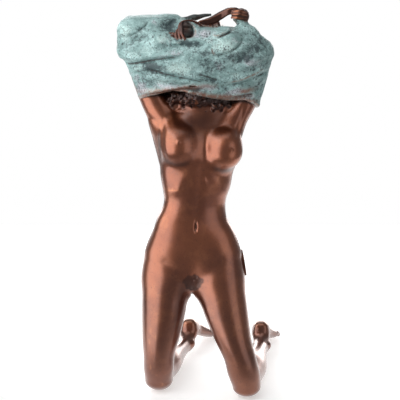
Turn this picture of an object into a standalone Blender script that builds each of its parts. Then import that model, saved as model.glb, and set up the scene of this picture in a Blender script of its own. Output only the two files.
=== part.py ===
"""Cast bronze figure of a kneeling woman who pulls a shirt up over her head and raised arms.

The body and the shirt are one casting. A small round plate is set flat into the left hip.
X runs to the figure's left side, her front faces -Y, and Z is up. Lengths are metres, except
that the free forms are set out in the millimetres of a study and then scaled.
"""
import math

import bmesh
import bpy
import numpy as np
from mathutils import Matrix, Vector

FIGURE_HEIGHT = 0.303       # from the ground to the top of the rolled neckline over the fist

SHIRT_WALL = 0.0036         # thickness of the cloth where its hem hangs free
HEM_RECESS = 0.011          # depth of the hollow under the hem
HEM_ROLL = 0.0006           # how far the rolled hem stands proud of the cloth
NECK_RECESS = 0.009         # depth of the hollow inside the shirt's neck opening

PLATE_DIAMETER = 0.021
PLATE_THICKNESS = 0.0021
PLATE_SEAT_DEPTH = 0.0011   # how far the plate's back lies below the skin of the hip
PLATE_RIM_WIDTH = 0.0012
PLATE_RIM_HEIGHT = 0.0003
PLATE_CLEARANCE = 0.0003    # gap between the plate and its seat

STUDY_GROUND = 1.0          # knees, shins and toes are ground off flat at this height
STUDY_TOP = 304.0
MESH_STEP = 1.3             # voxel of the working mesh, in study millimetres
FIGURE_TRIANGLES = 9200

# In study millimetres: the hem's height at places across the front, how deep those lie, how
# much lower the hem hangs for each millimetre further back, and its lowest point of all.
HEM_PLACES = (-50, -43, -30, -16, -8, -4, 4, 14, 25, 38, 44, 51)
HEM_HEIGHTS = (238.5, 239.5, 241, 243.4, 242.6, 241, 239.3, 237.3, 236.4, 237, 235, 232)
HEM_FRONT = -20.0
HEM_DROP = 0.26
HEM_LOWEST = 224.0

# Place towards the inner side, reach and radius of each toe, from the big one outwards.
TOES = ((7.4, 1.00, 3.2), (2.9, 0.98, 2.5), (-0.9, 0.90, 2.4), (-4.5, 0.80, 2.3), (-7.9, 0.66, 2.3))

PLATE_PLACE = (37.6, 9.0, 103.0)    # point on the skin of the left hip, in study millimetres
PLATE_NORMAL = (0.985, 0.05, 0.155)

SCALE = FIGURE_HEIGHT / (STUDY_TOP - STUDY_GROUND)


def study(length):
    """A length in metres, as millimetres of the study."""
    return length / SCALE


def smooth_min(a, b, blend):
    """Union of two distances with a soft fillet about blend wide."""
    mix = np.clip(0.5 + 0.5 * (b - a) / blend, 0.0, 1.0)
    return b + (a - b) * mix - blend * mix * (1.0 - mix)


def smooth_path(points, steps):
    """Rows read from a Catmull-Rom curve through the given rows, steps to each span."""
    rows = np.array(points, float)
    padded = np.vstack([2 * rows[0] - rows[1], rows, 2 * rows[-1] - rows[-2]])
    out = []
    for p0, p1, p2, p3 in zip(padded, padded[1:], padded[2:], padded[3:]):
        for t in np.linspace(0.0, 1.0, steps, endpoint=False):
            out.append(0.5 * (2 * p1 + (p2 - p0) * t + (2 * p0 - 5 * p1 + 4 * p2 - p3) * t ** 2
                              + (3 * p1 - p0 - 3 * p2 + p3) * t ** 3))
    out.append(rows[-1])
    return np.array(out)


def oval_distance(parts, radii, power):
    """Approximate distance to a (super)ellipsoid, from offsets and radii along its own axes."""
    shares = [np.abs(part / radius) for part, radius in zip(parts, radii)]
    size = sum(share ** power for share in shares) ** (1.0 / power)
    slope = np.sqrt(sum((share / radius) ** 2 for share, radius in zip(shares, radii)))
    return size * (size - 1.0) / np.maximum(slope, 1e-4)


class Loft:
    """Oval sections strung along a straight axis.

    Each station is (height, side shift, front shift, half width, front depth, back depth,
    turn), with the turn in degrees, positive when the section's front turns to its side.
    The rough balls that fill it start at seed_from, where its lower part is hollowed out.
    """

    def __init__(self, start, axis, side, stations, caps, blend=6.0, power=2.0, seed_from=-np.inf):
        self.start = np.array(start, float)
        self.axis = np.array(axis, float) / np.linalg.norm(axis)
        side = np.array(side, float)
        side -= self.axis * side.dot(self.axis)
        self.side = side / np.linalg.norm(side)
        self.front = np.cross(self.side, self.axis)
        self.table = smooth_path(stations, 6)
        self.caps = caps
        self.blend = blend
        self.power = power
        self.seed_from = seed_from
        self.box = box_of(*zip(*self.balls(self.table)))

    def distance(self, points):
        away = points - self.start
        height = away @ self.axis
        held = np.clip(height, self.table[0, 0], self.table[-1, 0])
        shift_side, shift_front, width, front, back, turn = (
            np.interp(held, self.table[:, 0], self.table[:, i]) for i in range(1, 7))
        turn = np.radians(turn)
        x = away @ self.side - shift_side
        y = away @ self.front - shift_front
        across = x * np.cos(turn) - y * np.sin(turn)
        ahead = y * np.cos(turn) + x * np.sin(turn)
        beyond = height - held
        depth = np.where(ahead > 0.0, front, back)
        cap = np.where(beyond > 0.0, self.caps[1], self.caps[0])
        return oval_distance((across, ahead, beyond), (width, depth, cap), self.power)

    def balls(self, rows):
        """Rough balls at the given stations: centre and radii along the world's axes."""
        reach = 2.4 * np.max(np.diff(self.table[:, 0]))
        found = []
        for height, side, front, width, ahead, behind, turn in rows:
            centre = self.start + self.axis * height + self.side * side + self.front * front
            centre = centre + self.front * (ahead - behind) / 2
            radii = (np.abs(self.side) * width + np.abs(self.front) * (ahead + behind) / 2
                     + np.abs(self.axis) * reach)
            found.append((centre, radii * 0.96))
        return found

    def seeds(self):
        rows = self.table[::3]
        return self.balls(rows[rows[:, 0] >= self.seed_from])

    def ring(self, height, inset, count):
        """Points around an upright loft at one height, a little inside its surface."""
        side, front, width, ahead, behind, turn = (
            np.interp(height, self.table[:, 0], self.table[:, i]) for i in range(1, 7))
        around = np.linspace(0.0, 2 * np.pi, count, endpoint=False)
        c, s = np.cos(around), np.sin(around)
        across = (width - inset) * np.sign(c) * np.abs(c) ** (2 / self.power)
        depth = np.where(s > 0, ahead, behind) - inset
        forward = depth * np.sign(s) * np.abs(s) ** (2 / self.power)
        return (self.start + np.outer(side + across, self.side) + np.outer(front + forward, self.front)
                + height * self.axis)


class Ball:
    """An ellipsoid, turned about Z and then tipped about its own side axis, in degrees."""

    def __init__(self, centre, radii, turn=0.0, tip=0.0, blend=5.0, power=2.0):
        self.centre = np.array(centre, float)
        self.radii = np.array(radii, float)
        self.frame = np.array(Matrix.Rotation(math.radians(turn), 3, 'Z')
                              @ Matrix.Rotation(math.radians(tip), 3, 'X'))
        self.blend = blend
        self.power = power
        self.box = box_of([self.centre], [np.full(3, self.radii.max())])

    def distance(self, points):
        own = (points - self.centre) @ self.frame
        return oval_distance(own.T, self.radii, self.power)

    def seeds(self):
        return [(self.centre, np.abs(self.frame) @ self.radii * 0.85)]


class Cord:
    """A round strand through points of (x, y, z, radius), flattened along Z by squash."""

    def __init__(self, points, blend=2.0, steps=4, squash=1.0):
        self.path = smooth_path(points, steps)
        self.blend = blend
        self.squash = np.array((1.0, 1.0, squash))
        self.box = box_of(self.path[:, :3], self.path[:, 3:])

    def distance(self, points):
        nearest = np.full(len(points), np.inf)
        for a, b in zip(self.path, self.path[1:]):
            span = (b[:3] - a[:3]) * self.squash
            away = (points - a[:3]) * self.squash
            along = np.clip(away @ span / max(span @ span, 1e-9), 0.0, 1.0)
            gap = np.linalg.norm(away - along[:, None] * span, axis=1)
            nearest = np.minimum(nearest, gap - a[3] - along * (b[3] - a[3]))
        return nearest

    def seeds(self):
        return [(row[:3], np.full(3, row[3]) / self.squash) for row in self.path]


class Line:
    """A line carved into the front (facing -1) or the back (facing 1), through points (x, z).

    It is raised when height is positive and cut when negative, and it fades out at its ends
    and past the middle plane, so it follows whatever surface it meets.
    """

    def __init__(self, points, height, width, facing=-1, middle=0.0, fade=0.15):
        self.path = smooth_path(points, 4)
        self.height = height
        self.width = width
        self.facing = facing
        self.middle = middle
        self.fade = fade
        low = self.path.min(axis=0) - 3.0 * width
        high = self.path.max(axis=0) + 3.0 * width
        self.box = (np.array((low[0], -80.0, low[1])), np.array((high[0], 80.0, high[1])))

    def relief(self, points):
        flat = points[:, (0, 2)]
        nearest = np.full(len(points), np.inf)
        place = np.zeros(len(points))
        count = len(self.path) - 1
        for index, (a, b) in enumerate(zip(self.path, self.path[1:])):
            span = b - a
            along = np.clip((flat - a) @ span / (span @ span), 0.0, 1.0)
            gap = np.linalg.norm(flat - a - along[:, None] * span, axis=1)
            closer = gap < nearest
            nearest[closer] = gap[closer]
            place[closer] = ((index + along) / count)[closer]
        ends = np.clip(np.minimum(place, 1.0 - place) / self.fade, 0.0, 1.0)
        side = np.clip((points[:, 1] - self.middle) * self.facing / 4.0, 0.0, 1.0)
        return self.height * side * (0.25 + 0.75 * ends) * np.exp(-(nearest / self.width) ** 2)


def box_of(centres, radii):
    """Lowest and highest corner around balls given by centre and radius."""
    centres = np.array(centres, float)
    radii = np.array(radii, float)
    return (centres - radii).min(axis=0), (centres + radii).max(axis=0)


def near(points, box, margin):
    low, high = box
    return np.all((points > low - margin) & (points < high + margin), axis=1)


def union(points, forms, lines=()):
    """Distance to forms joined with their own fillets, with the lines carved in."""
    total = np.full(len(points), 60.0)
    for form in forms:
        mask = near(points, form.box, form.blend + 5.0)
        if mask.any():
            total[mask] = smooth_min(form.distance(points[mask]), total[mask], form.blend)
    for line in lines:
        mask = near(points, line.box, 0.0)
        if mask.any():
            total[mask] -= line.relief(points[mask])
    return total


def torso():
    """Pelvis, belly and rib cage as one upright loft, with the main muscles laid on it."""
    trunk = Loft((0, 0, 0), (0, 0, 1), (1, 0, 0), [
        (99, -1.8, -3, 34.5, 16, 18, -2),
        (112, -2.4, -2, 35.8, 17.5, 18.5, 0),
        (122, -2.8, -1, 33.4, 17.5, 17, 4),
        (132, -2.3, 0, 30.4, 16.5, 16, 8),
        (141, -2.5, 0, 27.3, 15.5, 15, 10),
        (150, -0.8, 0, 24.6, 14.8, 14.5, 11),
        (157, 0.3, 0, 24.3, 15, 15, 11),
        (166, 1.2, 0, 26.4, 16.5, 17, 12),
        (176, 1.3, 0, 28.0, 18.5, 19, 12),
        (187, 2.0, 0, 29.0, 19.5, 20.5, 12),
        (198, 2.4, -1, 30.5, 19, 21.5, 12),
        (208, 2.2, -2, 31.0, 16.5, 20.5, 12),
        (217, 2.6, -4, 28.0, 12.5, 17.5, 12),
        (225, 4.5, -5, 19.0, 8, 12, 12),
    ], caps=(13, 5), power=2.2)
    return [
        trunk,
        Ball((-19.0, 12, 98), (18, 18, 20), blend=8),
        Ball((16.5, 10, 97), (18, 18, 20), blend=8),
        Ball((-13.5, -12.5, 207), (11, 8, 12), blend=8),
        Ball((22.0, -9.0, 202), (11, 8, 12), turn=18, blend=8),
        Ball((-13.0, -14.5, 199.5), (12.6, 12.2, 12.6), blend=4.0),
        Ball((23.0, -10.8, 194.0), (13.4, 12.8, 13.2), turn=18, blend=4.0),
        Ball((-12.2, -25.6, 204.6), (2.2, 2.2, 2.2), blend=2.5),
        Ball((27.2, -22.2, 198.4), (2.2, 2.2, 2.2), blend=2.5),
    ]


def shoulders():
    """Neck and jaw, collar bones, and the muscles that run up into the raised arms."""
    neck = Loft((6, 4, 222), (-0.05, -0.1, 1), (1, 0, 0), [
        (0, 0, 0, 11, 9, 10, 12),
        (8, 0, 0, 9.3, 8.5, 9, 12),
        (30, 0, 0, 9.5, 9, 10, 12),
    ], caps=(6, 6), blend=6)
    right_arm = Cord([(-23.5, 3, 215, 9.6), (-31.5, 2, 232, 9.4), (-50, 0, 276, 8.4)], blend=8)
    left_arm = Cord([(26, 3, 213, 9.6), (38.0, 3, 231, 8.8), (52, 1, 268, 8.2)], blend=8)
    return [
        neck,
        Ball((2.5, -7.0, 240), (7.5, 8.5, 7.5), blend=3),
        Ball((-11, 9, 224), (13, 9, 8), blend=6),
        Ball((19, 9, 222), (13, 9, 8), blend=6),
        Ball((5, 0, 222), (21, 8.5, 7), blend=7),
        Cord([(-23, 0, 226, 2.0), (-12, -5, 227, 2.1), (-2, -7.5, 226, 2.1), (4, -8.5, 223.5, 2.3)],
             blend=5),
        Cord([(31, 0, 219.5, 2.0), (21, -5, 221.5, 2.1), (13, -8, 222.2, 2.1), (9, -8.5, 222.5, 2.3)],
             blend=5),
        Cord([(-15, -9, 207, 7), (-22, -3.5, 217, 6.2), (-26, -1, 226, 5.4), (-30, 0, 236, 5)], blend=5),
        Cord([(24, -8, 202, 7), (29, -2.5, 212, 6), (32.5, 0, 222, 5), (36, 1, 232, 5)], blend=5),
        Cord([(-20, 6, 190, 8), (-23.5, 6, 203, 8.5), (-26, 5, 214, 8)], blend=8),
        Cord([(24, 7, 188, 8), (26, 6, 200, 8), (27, 5, 210, 8)], blend=8),
        right_arm,
        left_arm,
    ]


def lock(points, radius, waves, swing, blend=1.5):
    """A lock of hair that waves from side to side on its way down."""
    path = smooth_path(points, 5)
    share = np.linspace(0.0, 1.0, len(path))
    path[:, 0] += swing * np.sin(2 * np.pi * waves * share)
    thick = radius * (1.0 - 0.45 * share)
    return Cord(np.column_stack([path, thick]), blend=blend, steps=2)


def hair():
    """Loose locks that fall beside the neck, with a mass behind it."""
    mass = [Ball((4, 13, 236), (19, 8, 13), blend=5),
            Ball((-12, 3, 235), (9, 8, 9), blend=4),
            Ball((20, 3, 233), (9, 8, 9), blend=4)]
    locks = []
    for start, end, front in ((-8, -18, -6), (-5, -11, -9), (-13, -21, -2), (-3, -5, -10)):
        points = [(start, front + 2, 244), ((start + end) / 2, front, 235), (end, front + 1, 227.5)]
        locks.append(lock(points, 2.7, 1.2, 1.1))
    for start, end, front in ((11, 15, -9), (15, 21, -7), (19, 27, -3), (23, 31, 0)):
        points = [(start, front + 2, 242), ((start + end) / 2, front, 232), (end, front + 1, 224)]
        locks.append(lock(points, 2.7, 1.2, -1.1))
    return mass + locks


def leg(inner, knee, ankle, heel, toe, calf_width, thigh_stations):
    """Upright thigh, shin laid back along the ground, and a foot resting on its upper side.

    The big toe is on the inner side, which is 1 towards the figure's left and -1 to its right.
    """
    knee, ankle, heel, toe = (np.array(point, float) for point in (knee, ankle, heel, toe))
    shin = ankle - knee
    length = np.linalg.norm(shin)
    forward = (toe - heel) / np.linalg.norm(toe - heel)
    across = np.cross(forward, (0, 0, 1))
    across /= np.linalg.norm(across)
    calf = Loft(knee, shin, across, [
        (0.00 * length, 0, 0, 9.5, 9.5, 9.5, 0),
        (0.20 * length, 0, 0, 0.94 * calf_width, 10.5, 10.0, 0),
        (0.38 * length, 0, 0, calf_width, 11.5, 10.5, 0),
        (0.58 * length, 0, 0, 0.80 * calf_width, 9.5, 9.5, 0),
        (0.78 * length, 0, 0, 0.60 * calf_width, 6.8, 7.5, 0),
        (1.00 * length, 0, 0, 5.6, 6.0, 6.6, 0),
    ], caps=(8, 5), blend=7)
    ball = heel + (toe - heel) * 0.70
    sole = np.linalg.norm(ball - heel)
    foot = Loft(heel - (0, 0, 3.0), ball - heel + (0, 0, 2.0), across, [
        (0.0 * sole, 0, 0, 5.6, 6.0, 5.0, 0),
        (0.3 * sole, 0.4 * inner, 0, 6.2, 7.0, 4.6, 0),
        (0.6 * sole, 0.4 * inner, 0, 7.6, 5.8, 4.4, 0),
        (0.9 * sole, 0, 0, 9.8, 4.6, 4.4, 0),
        (1.0 * sole, 0, 0, 10.0, 4.4, 4.4, 0),
    ], caps=(4, 4), blend=5)
    forms = [
        Loft((0, 0, 0), (0, 0, 1), (1, 0, 0), thigh_stations, caps=(7.0, 10), blend=9),
        calf,
        Ball(heel - forward * 1.5 + (0, 0, -2.0), (6.4, 7.0, 7.6), blend=5),
        Cord([(*ankle, 6.0), (*(heel - (0, 0, 4.5)), 6.4)], blend=5),
        foot,
    ]
    for place, reach, radius in TOES:
        root = ball + across * place * inner
        tip = root + (toe - ball) * reach
        forms.append(Cord([(*root, radius), (*((root + tip) / 2 + (0, 0, 0.6)), radius * 0.9),
                           (*tip, radius)], blend=1.2))
    return forms


def legs():
    right_thigh = [
        (10, -29.2, 4, 10.2, 10, 12, 0),
        (20, -28.8, 6, 11.8, 11, 13, 0),
        (32, -28.4, 6, 12.4, 12, 13, 0),
        (45, -27.0, 5, 14.6, 13.5, 14, 0),
        (64, -24.8, 3, 17.0, 15.5, 16.5, 0),
        (79, -23.6, 1, 18.0, 16.5, 19, 0),
        (93, -22.4, -1, 18.0, 16, 20, 0),
        (108, -20.4, -3, 16.0, 13, 17, 0),
    ]
    left_thigh = [
        (9, 40.4, 17, 10.6, 10, 12, 0),
        (20, 38.3, 18, 12.6, 11, 13, 0),
        (32, 35.4, 17, 12.8, 12, 13, 0),
        (47, 29.8, 14, 14.4, 13.5, 14, 0),
        (66, 24.4, 9, 17.2, 15.5, 16.5, 0),
        (81, 21.2, 5, 18.4, 16.5, 19, 0),
        (95, 19.2, 2, 17.8, 16, 20, 0),
        (110, 17.2, -1, 15.6, 13, 17, 0),
    ]
    right = leg(1, (-28.6, 2, 10.5), (-8.0, 84, 11.5), (-5.0, 96, 24.0), (15.0, 136, 3.6), 9.0,
                right_thigh)
    left = leg(-1, (41.0, -10, 10.5), (57.0, 80, 11.0), (56.8, 92, 23.0), (67.0, 134, 3.6), 11.2,
               left_thigh)
    return right + left


def body_lines():
    """Hollows and ridges of the muscles, seen from the front and then from the back."""
    front = [
        Line([(6.9, 213), (6.5, 201), (6.2, 190)], -1.2, 3.0),
        Line([(6.2, 187), (4.7, 175), (3.1, 163), (1.6, 151), (0.9, 144)], -0.7, 2.4),
        Line([(0.8, 141.5), (0.8, 134)], -2.0, 1.4, fade=0.4),
        Line([(3.1, 186), (-3.7, 181), (-10.5, 172.5), (-16.7, 162)], 0.7, 3.2),
        Line([(9.2, 184), (14.5, 177.3), (20, 167), (22.4, 158)], 0.7, 3.2),
        Line([(-27, 114), (-19.3, 105), (-10.8, 96), (-3.9, 88.5)], -1.1, 2.4),
        Line([(24, 115.5), (15.5, 106.7), (7, 96.4), (0.8, 88.7)], -1.1, 2.4),
        Line([(-21, 198), (-17, 190), (-9, 187.5), (-2.5, 191)], -0.5, 1.6),
        Line([(11.5, 191), (16, 184), (24.5, 180.8), (32, 184)], -0.5, 1.6),
    ]
    back = [
        Line([(3, 216), (2, 190), (0.5, 165), (-1.5, 140), (-2, 122)], -1.8, 3.4, 1),
        Line([(-8, 214), (-14, 202), (-16, 190)], 1.4, 4.5, 1),
        Line([(14, 212), (20, 200), (21, 188)], 1.4, 4.5, 1),
        Line([(-1.6, 112), (-1.6, 98), (-1.8, 82)], -4.5, 2.4, 1),
        Line([(-6, 81), (-19, 77.5), (-31, 82)], -1.0, 2.4, 1),
        Line([(4, 80), (16, 76.5), (29, 81)], -1.0, 2.4, 1),
    ]
    return front + back


def shirt_forms():
    bag = Loft((0, 0, 0), (0, 0, 1), (1, 0, 0), [
        (224, 4.3, -2, 43.0, 19, 19, 0),
        (238, 4.3, -2, 47.4, 21, 22, 0),
        (245, 3.9, -2, 49.6, 23, 24, 0),
        (252, 3.5, -2, 52.0, 26, 26, 0),
        (260, 2.8, -2, 54.6, 28, 28, 0),
        (267, 1.7, -2, 57.0, 29, 29, 0),
        (273, 0.2, -2, 58.0, 28.5, 28, 0),
        (279, -2.8, -2, 54.5, 26, 26, 0),
        (284, -7.0, -2, 49.0, 22, 22, 0),
    ], caps=(6, 6), power=2.4, blend=4, seed_from=255)
    return [
        bag,
        Ball((-36, 2, 281), (22.5, 20, 16.2), power=3.6, blend=3),
        Ball((-18, 4, 285.5), (14, 14, 12.6), blend=5),
        Cord([(50, 0, 272.5, 6.5), (43, 0, 280, 5.2), (37.5, 1, 288, 3.8), (34.5, 2, 295, 3.0)], blend=6),
        Cord([(-10, 8, 291, 3.4), (-2, 12, 294.5, 2.6), (8, 14, 296.8, 1.8), (19, 15, 298.2, 1.1)],
             blend=3),
        Ball((-6, -9, 286), (11, 10, 8.5), blend=4),
        Ball((24, -17, 279.5), (10, 7, 6.5), blend=5),
        Ball((-26, -17, 281), (9, 7, 5.5), blend=5),
    ]


def shirt_lines():
    """Folds of the gathered cloth: those of the front, then plainer ones across the back."""
    front = [
        Line([(-56, 263.5), (-50.5, 263), (-38.4, 265.5), (-29.4, 267.5), (-16.7, 269), (-7, 269)],
             -1.9, 1.7),
        Line([(-56, 267.5), (-45, 267.5), (-36, 269), (-24, 271)], 1.2, 2.4),
        Line([(-33, 260), (-25.8, 257.5), (-11.7, 254.3), (2.4, 251.6), (10, 249.4)], -1.6, 1.8),
        Line([(-30, 263.5), (-12, 258.5), (4, 255)], 0.9, 2.6),
        Line([(-29, 251), (-20.7, 250), (-7.6, 248), (4, 246.6)], -1.2, 1.5),
        Line([(-26, 247), (-8, 245.5), (3, 243.8)], 0.8, 1.8),
        Line([(12, 274.2), (14.9, 270.3), (23.8, 271), (32, 275.4), (36, 281.5)], -1.7, 1.8),
        Line([(12.5, 275), (13.2, 272), (16, 269.8)], 1.3, 1.0),
        Line([(14, 283.2), (19.5, 285), (26, 287.5)], 1.1, 1.5),
        Line([(22, 247.5), (34.5, 250.6), (47.3, 254.8), (56, 257.5)], 1.6, 2.2),
        Line([(22, 243.5), (34.5, 246.4), (47.3, 250.4), (56, 253)], -1.4, 2.2),
        Line([(38, 258.5), (44.1, 262), (51, 268)], 1.3, 2.6),
        Line([(29, 264), (37.2, 269.5), (42, 274)], -2.2, 4.0),
        Line([(-48.3, 284), (-42.3, 286.7), (-37.6, 289.9), (-33.5, 293)], -1.2, 1.3),
        Line([(-16, 280), (-3.5, 278.4), (10, 280.5)], -2.2, 3.0),
        Line([(-26, 292.5), (-18.3, 288.8), (-12.5, 286)], -2.0, 3.2),
        Line([(-8, 244.2), (0, 245), (7, 243.9)], -1.0, 1.2),
    ]
    back = []
    for index in range(9):
        level = 239 + 5.6 * index
        shift = 14.0 * math.sin(2.4 * index)
        reach = 30 + 8.0 * math.cos(1.7 * index)
        lean = 5.0 * math.sin(1.1 * index + 0.6)
        height = -1.5 if index % 3 else 1.3
        back.append(Line([(shift - reach, level - lean), (shift - reach / 3, level - 2.5),
                          (shift + reach / 3, level - 2.0), (shift + reach, level + lean)],
                         height, 1.9 + 0.5 * (index % 2), 1))
    return front + back


def trim_forms():
    """Rolled neckline that bridges to the fist, the fist and its fingers, and the rolled loop."""
    forms = [
        Cord([(-1, 0, 292.0, 1.8), (8, 3, 292.8, 2.2), (16, 5, 294.3, 2.3), (22, 5, 297.6, 2.2),
              (28, 4, 300.6, 2.0), (33, 2.5, 302.2, 1.8)], blend=1.5),
        Ball((34.0, 2.5, 298.4), (5.6, 5.2, 4.2), blend=2),
        Cord([(3.2, -12, 290.6, 1.2), (-2, -13, 293.8, 1.3), (-7, -14, 294.2, 1.3),
              (-11.6, -15, 291.6, 1.3), (-13.8, -17, 286.4, 1.3), (-11.4, -20, 280.4, 1.2)], blend=1.5),
    ]
    for index in range(4):
        x = 29.8 + 2.7 * index
        top = 300.2 - 0.5 * index ** 1.3
        forms.append(Cord([(x, 2, top, 1.6), (x + 0.4, -2.6, top - 0.6, 1.6),
                           (x + 0.8, -3.8, top - 3.6, 1.5), (x + 0.8, -1.8, top - 5.6, 1.4)],
                          blend=0.8))
    return forms


def ring_balls(bag, inset, radius, above_hem, count):
    """Balls in rings inside the bag, wherever they are at least above_hem over the hem."""
    found = []
    for height in np.arange(HEM_LOWEST, bag.seed_from, radius):
        points = bag.ring(height, inset, count)
        above = height - hem_height(points)
        found += [(point, np.full(3, radius)) for point in points[above > above_hem]]
    return found


def hem_seeds(bag):
    """Balls that fill the hanging cloth, and the solid part behind it over the hollow."""
    wall = study(SHIRT_WALL)
    found = ring_balls(bag, wall / 2, 0.7 * wall, 0.3 * wall, 100)
    for inset in range(5, 24, 4):
        found += ring_balls(bag, inset, 4.0, study(HEM_RECESS) + 3.5, 40)
    return found


def hem_height(points):
    level = np.interp(points[:, 0], HEM_PLACES, HEM_HEIGHTS)
    return level - HEM_DROP * (points[:, 1] - HEM_FRONT)


def shirt_distance(points, shirt, lines):
    """The gathered shirt: trimmed along its hem, and hollow under it and at the neck."""
    hem = points[:, 2] - hem_height(points)
    cloth = union(points, shirt, lines)
    roll = study(HEM_ROLL)
    cloth -= roll * np.exp(-((hem - 1.6) / 1.5) ** 2)
    under = np.maximum(cloth + study(SHIRT_WALL), hem - study(HEM_RECESS))
    cloth = -smooth_min(-cloth, hem, 1.2)
    cloth = -smooth_min(-cloth, under, 1.5)
    neck = Ball((13, 3, 290.8), (17, 10, study(NECK_RECESS)))
    cloth = -smooth_min(-cloth, neck.distance(points), 1.5)
    loop = Ball((-3.5, -18, 287), (6.2, 9, 6.4))
    return -smooth_min(-cloth, loop.distance(points), 1.2)


def project(points, measure, rounds):
    """Moves points along the field's slope until they lie on its zero surface."""
    eps = 0.04
    for _ in range(rounds):
        here = measure(points)
        slope = np.stack([measure(points + eps * np.eye(3)[i]) - here for i in range(3)], axis=1) / eps
        strength = np.maximum((slope ** 2).sum(axis=1), 0.1)
        step = np.clip(here / strength, -1.6, 1.6)
        points = points - step[:, None] * slope
    return points


def baked(obj):
    """Replaces an object's mesh by what its modifiers make of it."""
    depsgraph = bpy.context.evaluated_depsgraph_get()
    mesh = bpy.data.meshes.new_from_object(obj.evaluated_get(depsgraph))
    obj.modifiers.clear()
    old = obj.data
    obj.data = mesh
    bpy.data.meshes.remove(old)


def new_object(name, bm):
    mesh = bpy.data.meshes.new(name)
    bm.to_mesh(mesh)
    bm.free()
    obj = bpy.data.objects.new(name, mesh)
    bpy.context.scene.collection.objects.link(obj)
    return obj


def seeded_mesh(name, seeds):
    """Overlapping rough balls, each given by its centre and radii."""
    bm = bmesh.new()
    for centre, radii in seeds:
        place = Matrix.Translation(Vector(centre)) @ Matrix.Diagonal((*radii, 1.0))
        bmesh.ops.create_icosphere(bm, subdivisions=2 if max(radii) > 5 else 1, radius=1.0, matrix=place)
    return new_object(name, bm)


def remeshed(obj, voxel):
    remesh = obj.modifiers.new("even mesh", 'REMESH')
    remesh.mode = 'VOXEL'
    remesh.voxel_size = voxel
    baked(obj)


def moved_to_surface(obj, measure, rounds):
    count = len(obj.data.vertices)
    flat = np.empty(count * 3)
    obj.data.vertices.foreach_get("co", flat)
    points = project(flat.reshape(-1, 3), measure, rounds)
    obj.data.vertices.foreach_set("co", points.ravel())
    obj.data.update()


def bronze(name, colour, roughness, metallic):
    material = bpy.data.materials.new(name)
    material.use_nodes = True
    shader = material.node_tree.nodes["Principled BSDF"]
    shader.inputs["Base Color"].default_value = (*colour, 1.0)
    shader.inputs["Roughness"].default_value = roughness
    shader.inputs["Metallic"].default_value = metallic
    return material


def make_statue(brown, green):
    """The casting, still in study millimetres: body, shirt, neckline, fist and loop in one."""
    body = torso() + shoulders() + hair() + legs()
    shirt = shirt_forms()
    trim = trim_forms()
    skin_lines = body_lines()
    cloth_lines = shirt_lines()

    def measure(points):
        skin = union(points, body, skin_lines)
        cloth = shirt_distance(points, shirt, cloth_lines)
        return smooth_min(smooth_min(skin, cloth, 1.0), union(points, trim), 1.2)

    seeds = [seed for form in body + shirt + trim for seed in form.seeds()]
    statue = seeded_mesh("statue", seeds + hem_seeds(shirt[0]))
    for voxel, rounds in ((MESH_STEP * 1.3, 5), (MESH_STEP, 3)):
        remeshed(statue, voxel)
        moved_to_surface(statue, measure, rounds)
    decimate = statue.modifiers.new("fewer faces", 'DECIMATE')
    triangles = sum(len(face.vertices) - 2 for face in statue.data.polygons)
    decimate.ratio = FIGURE_TRIANGLES / triangles
    baked(statue)

    statue.data.materials.append(brown)
    statue.data.materials.append(green)
    middles = np.array([face.center for face in statue.data.polygons])
    is_cloth = shirt_distance(middles, shirt, cloth_lines) < union(middles, body + trim, skin_lines)
    statue.data.polygons.foreach_set("material_index", is_cloth.astype(np.int32))
    statue.data.shade_smooth()
    return statue


def cutter(name, bm):
    obj = new_object(name, bm)
    obj.hide_render = True
    obj.display_type = 'WIRE'
    return obj


def cut(target, tool):
    boolean = target.modifiers.new("cut by " + tool.name, 'BOOLEAN')
    boolean.operation = 'DIFFERENCE'
    boolean.solver = 'EXACT'
    boolean.object = tool


def make_plate(material):
    """Flat disc with a raised rim, its back at z = 0 of its own frame."""
    bm = bmesh.new()
    radius = PLATE_DIAMETER / 2
    middle = Matrix.Translation((0, 0, PLATE_THICKNESS / 2))
    bmesh.ops.create_cone(bm, cap_ends=True, segments=64, radius1=radius, radius2=radius,
                          depth=PLATE_THICKNESS, matrix=middle)
    face = max(bm.faces, key=lambda item: item.calc_center_median().z)
    bmesh.ops.inset_individual(bm, faces=[face], thickness=PLATE_RIM_WIDTH)
    bmesh.ops.inset_individual(bm, faces=[face], thickness=PLATE_RIM_HEIGHT)
    bmesh.ops.translate(bm, verts=face.verts, vec=(0, 0, -PLATE_RIM_HEIGHT))
    plate = new_object("hip_plate", bm)
    plate.data.materials.append(material)
    plate.data.shade_smooth()
    plate.data.set_sharp_from_angle(angle=math.radians(40))
    return plate


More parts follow.
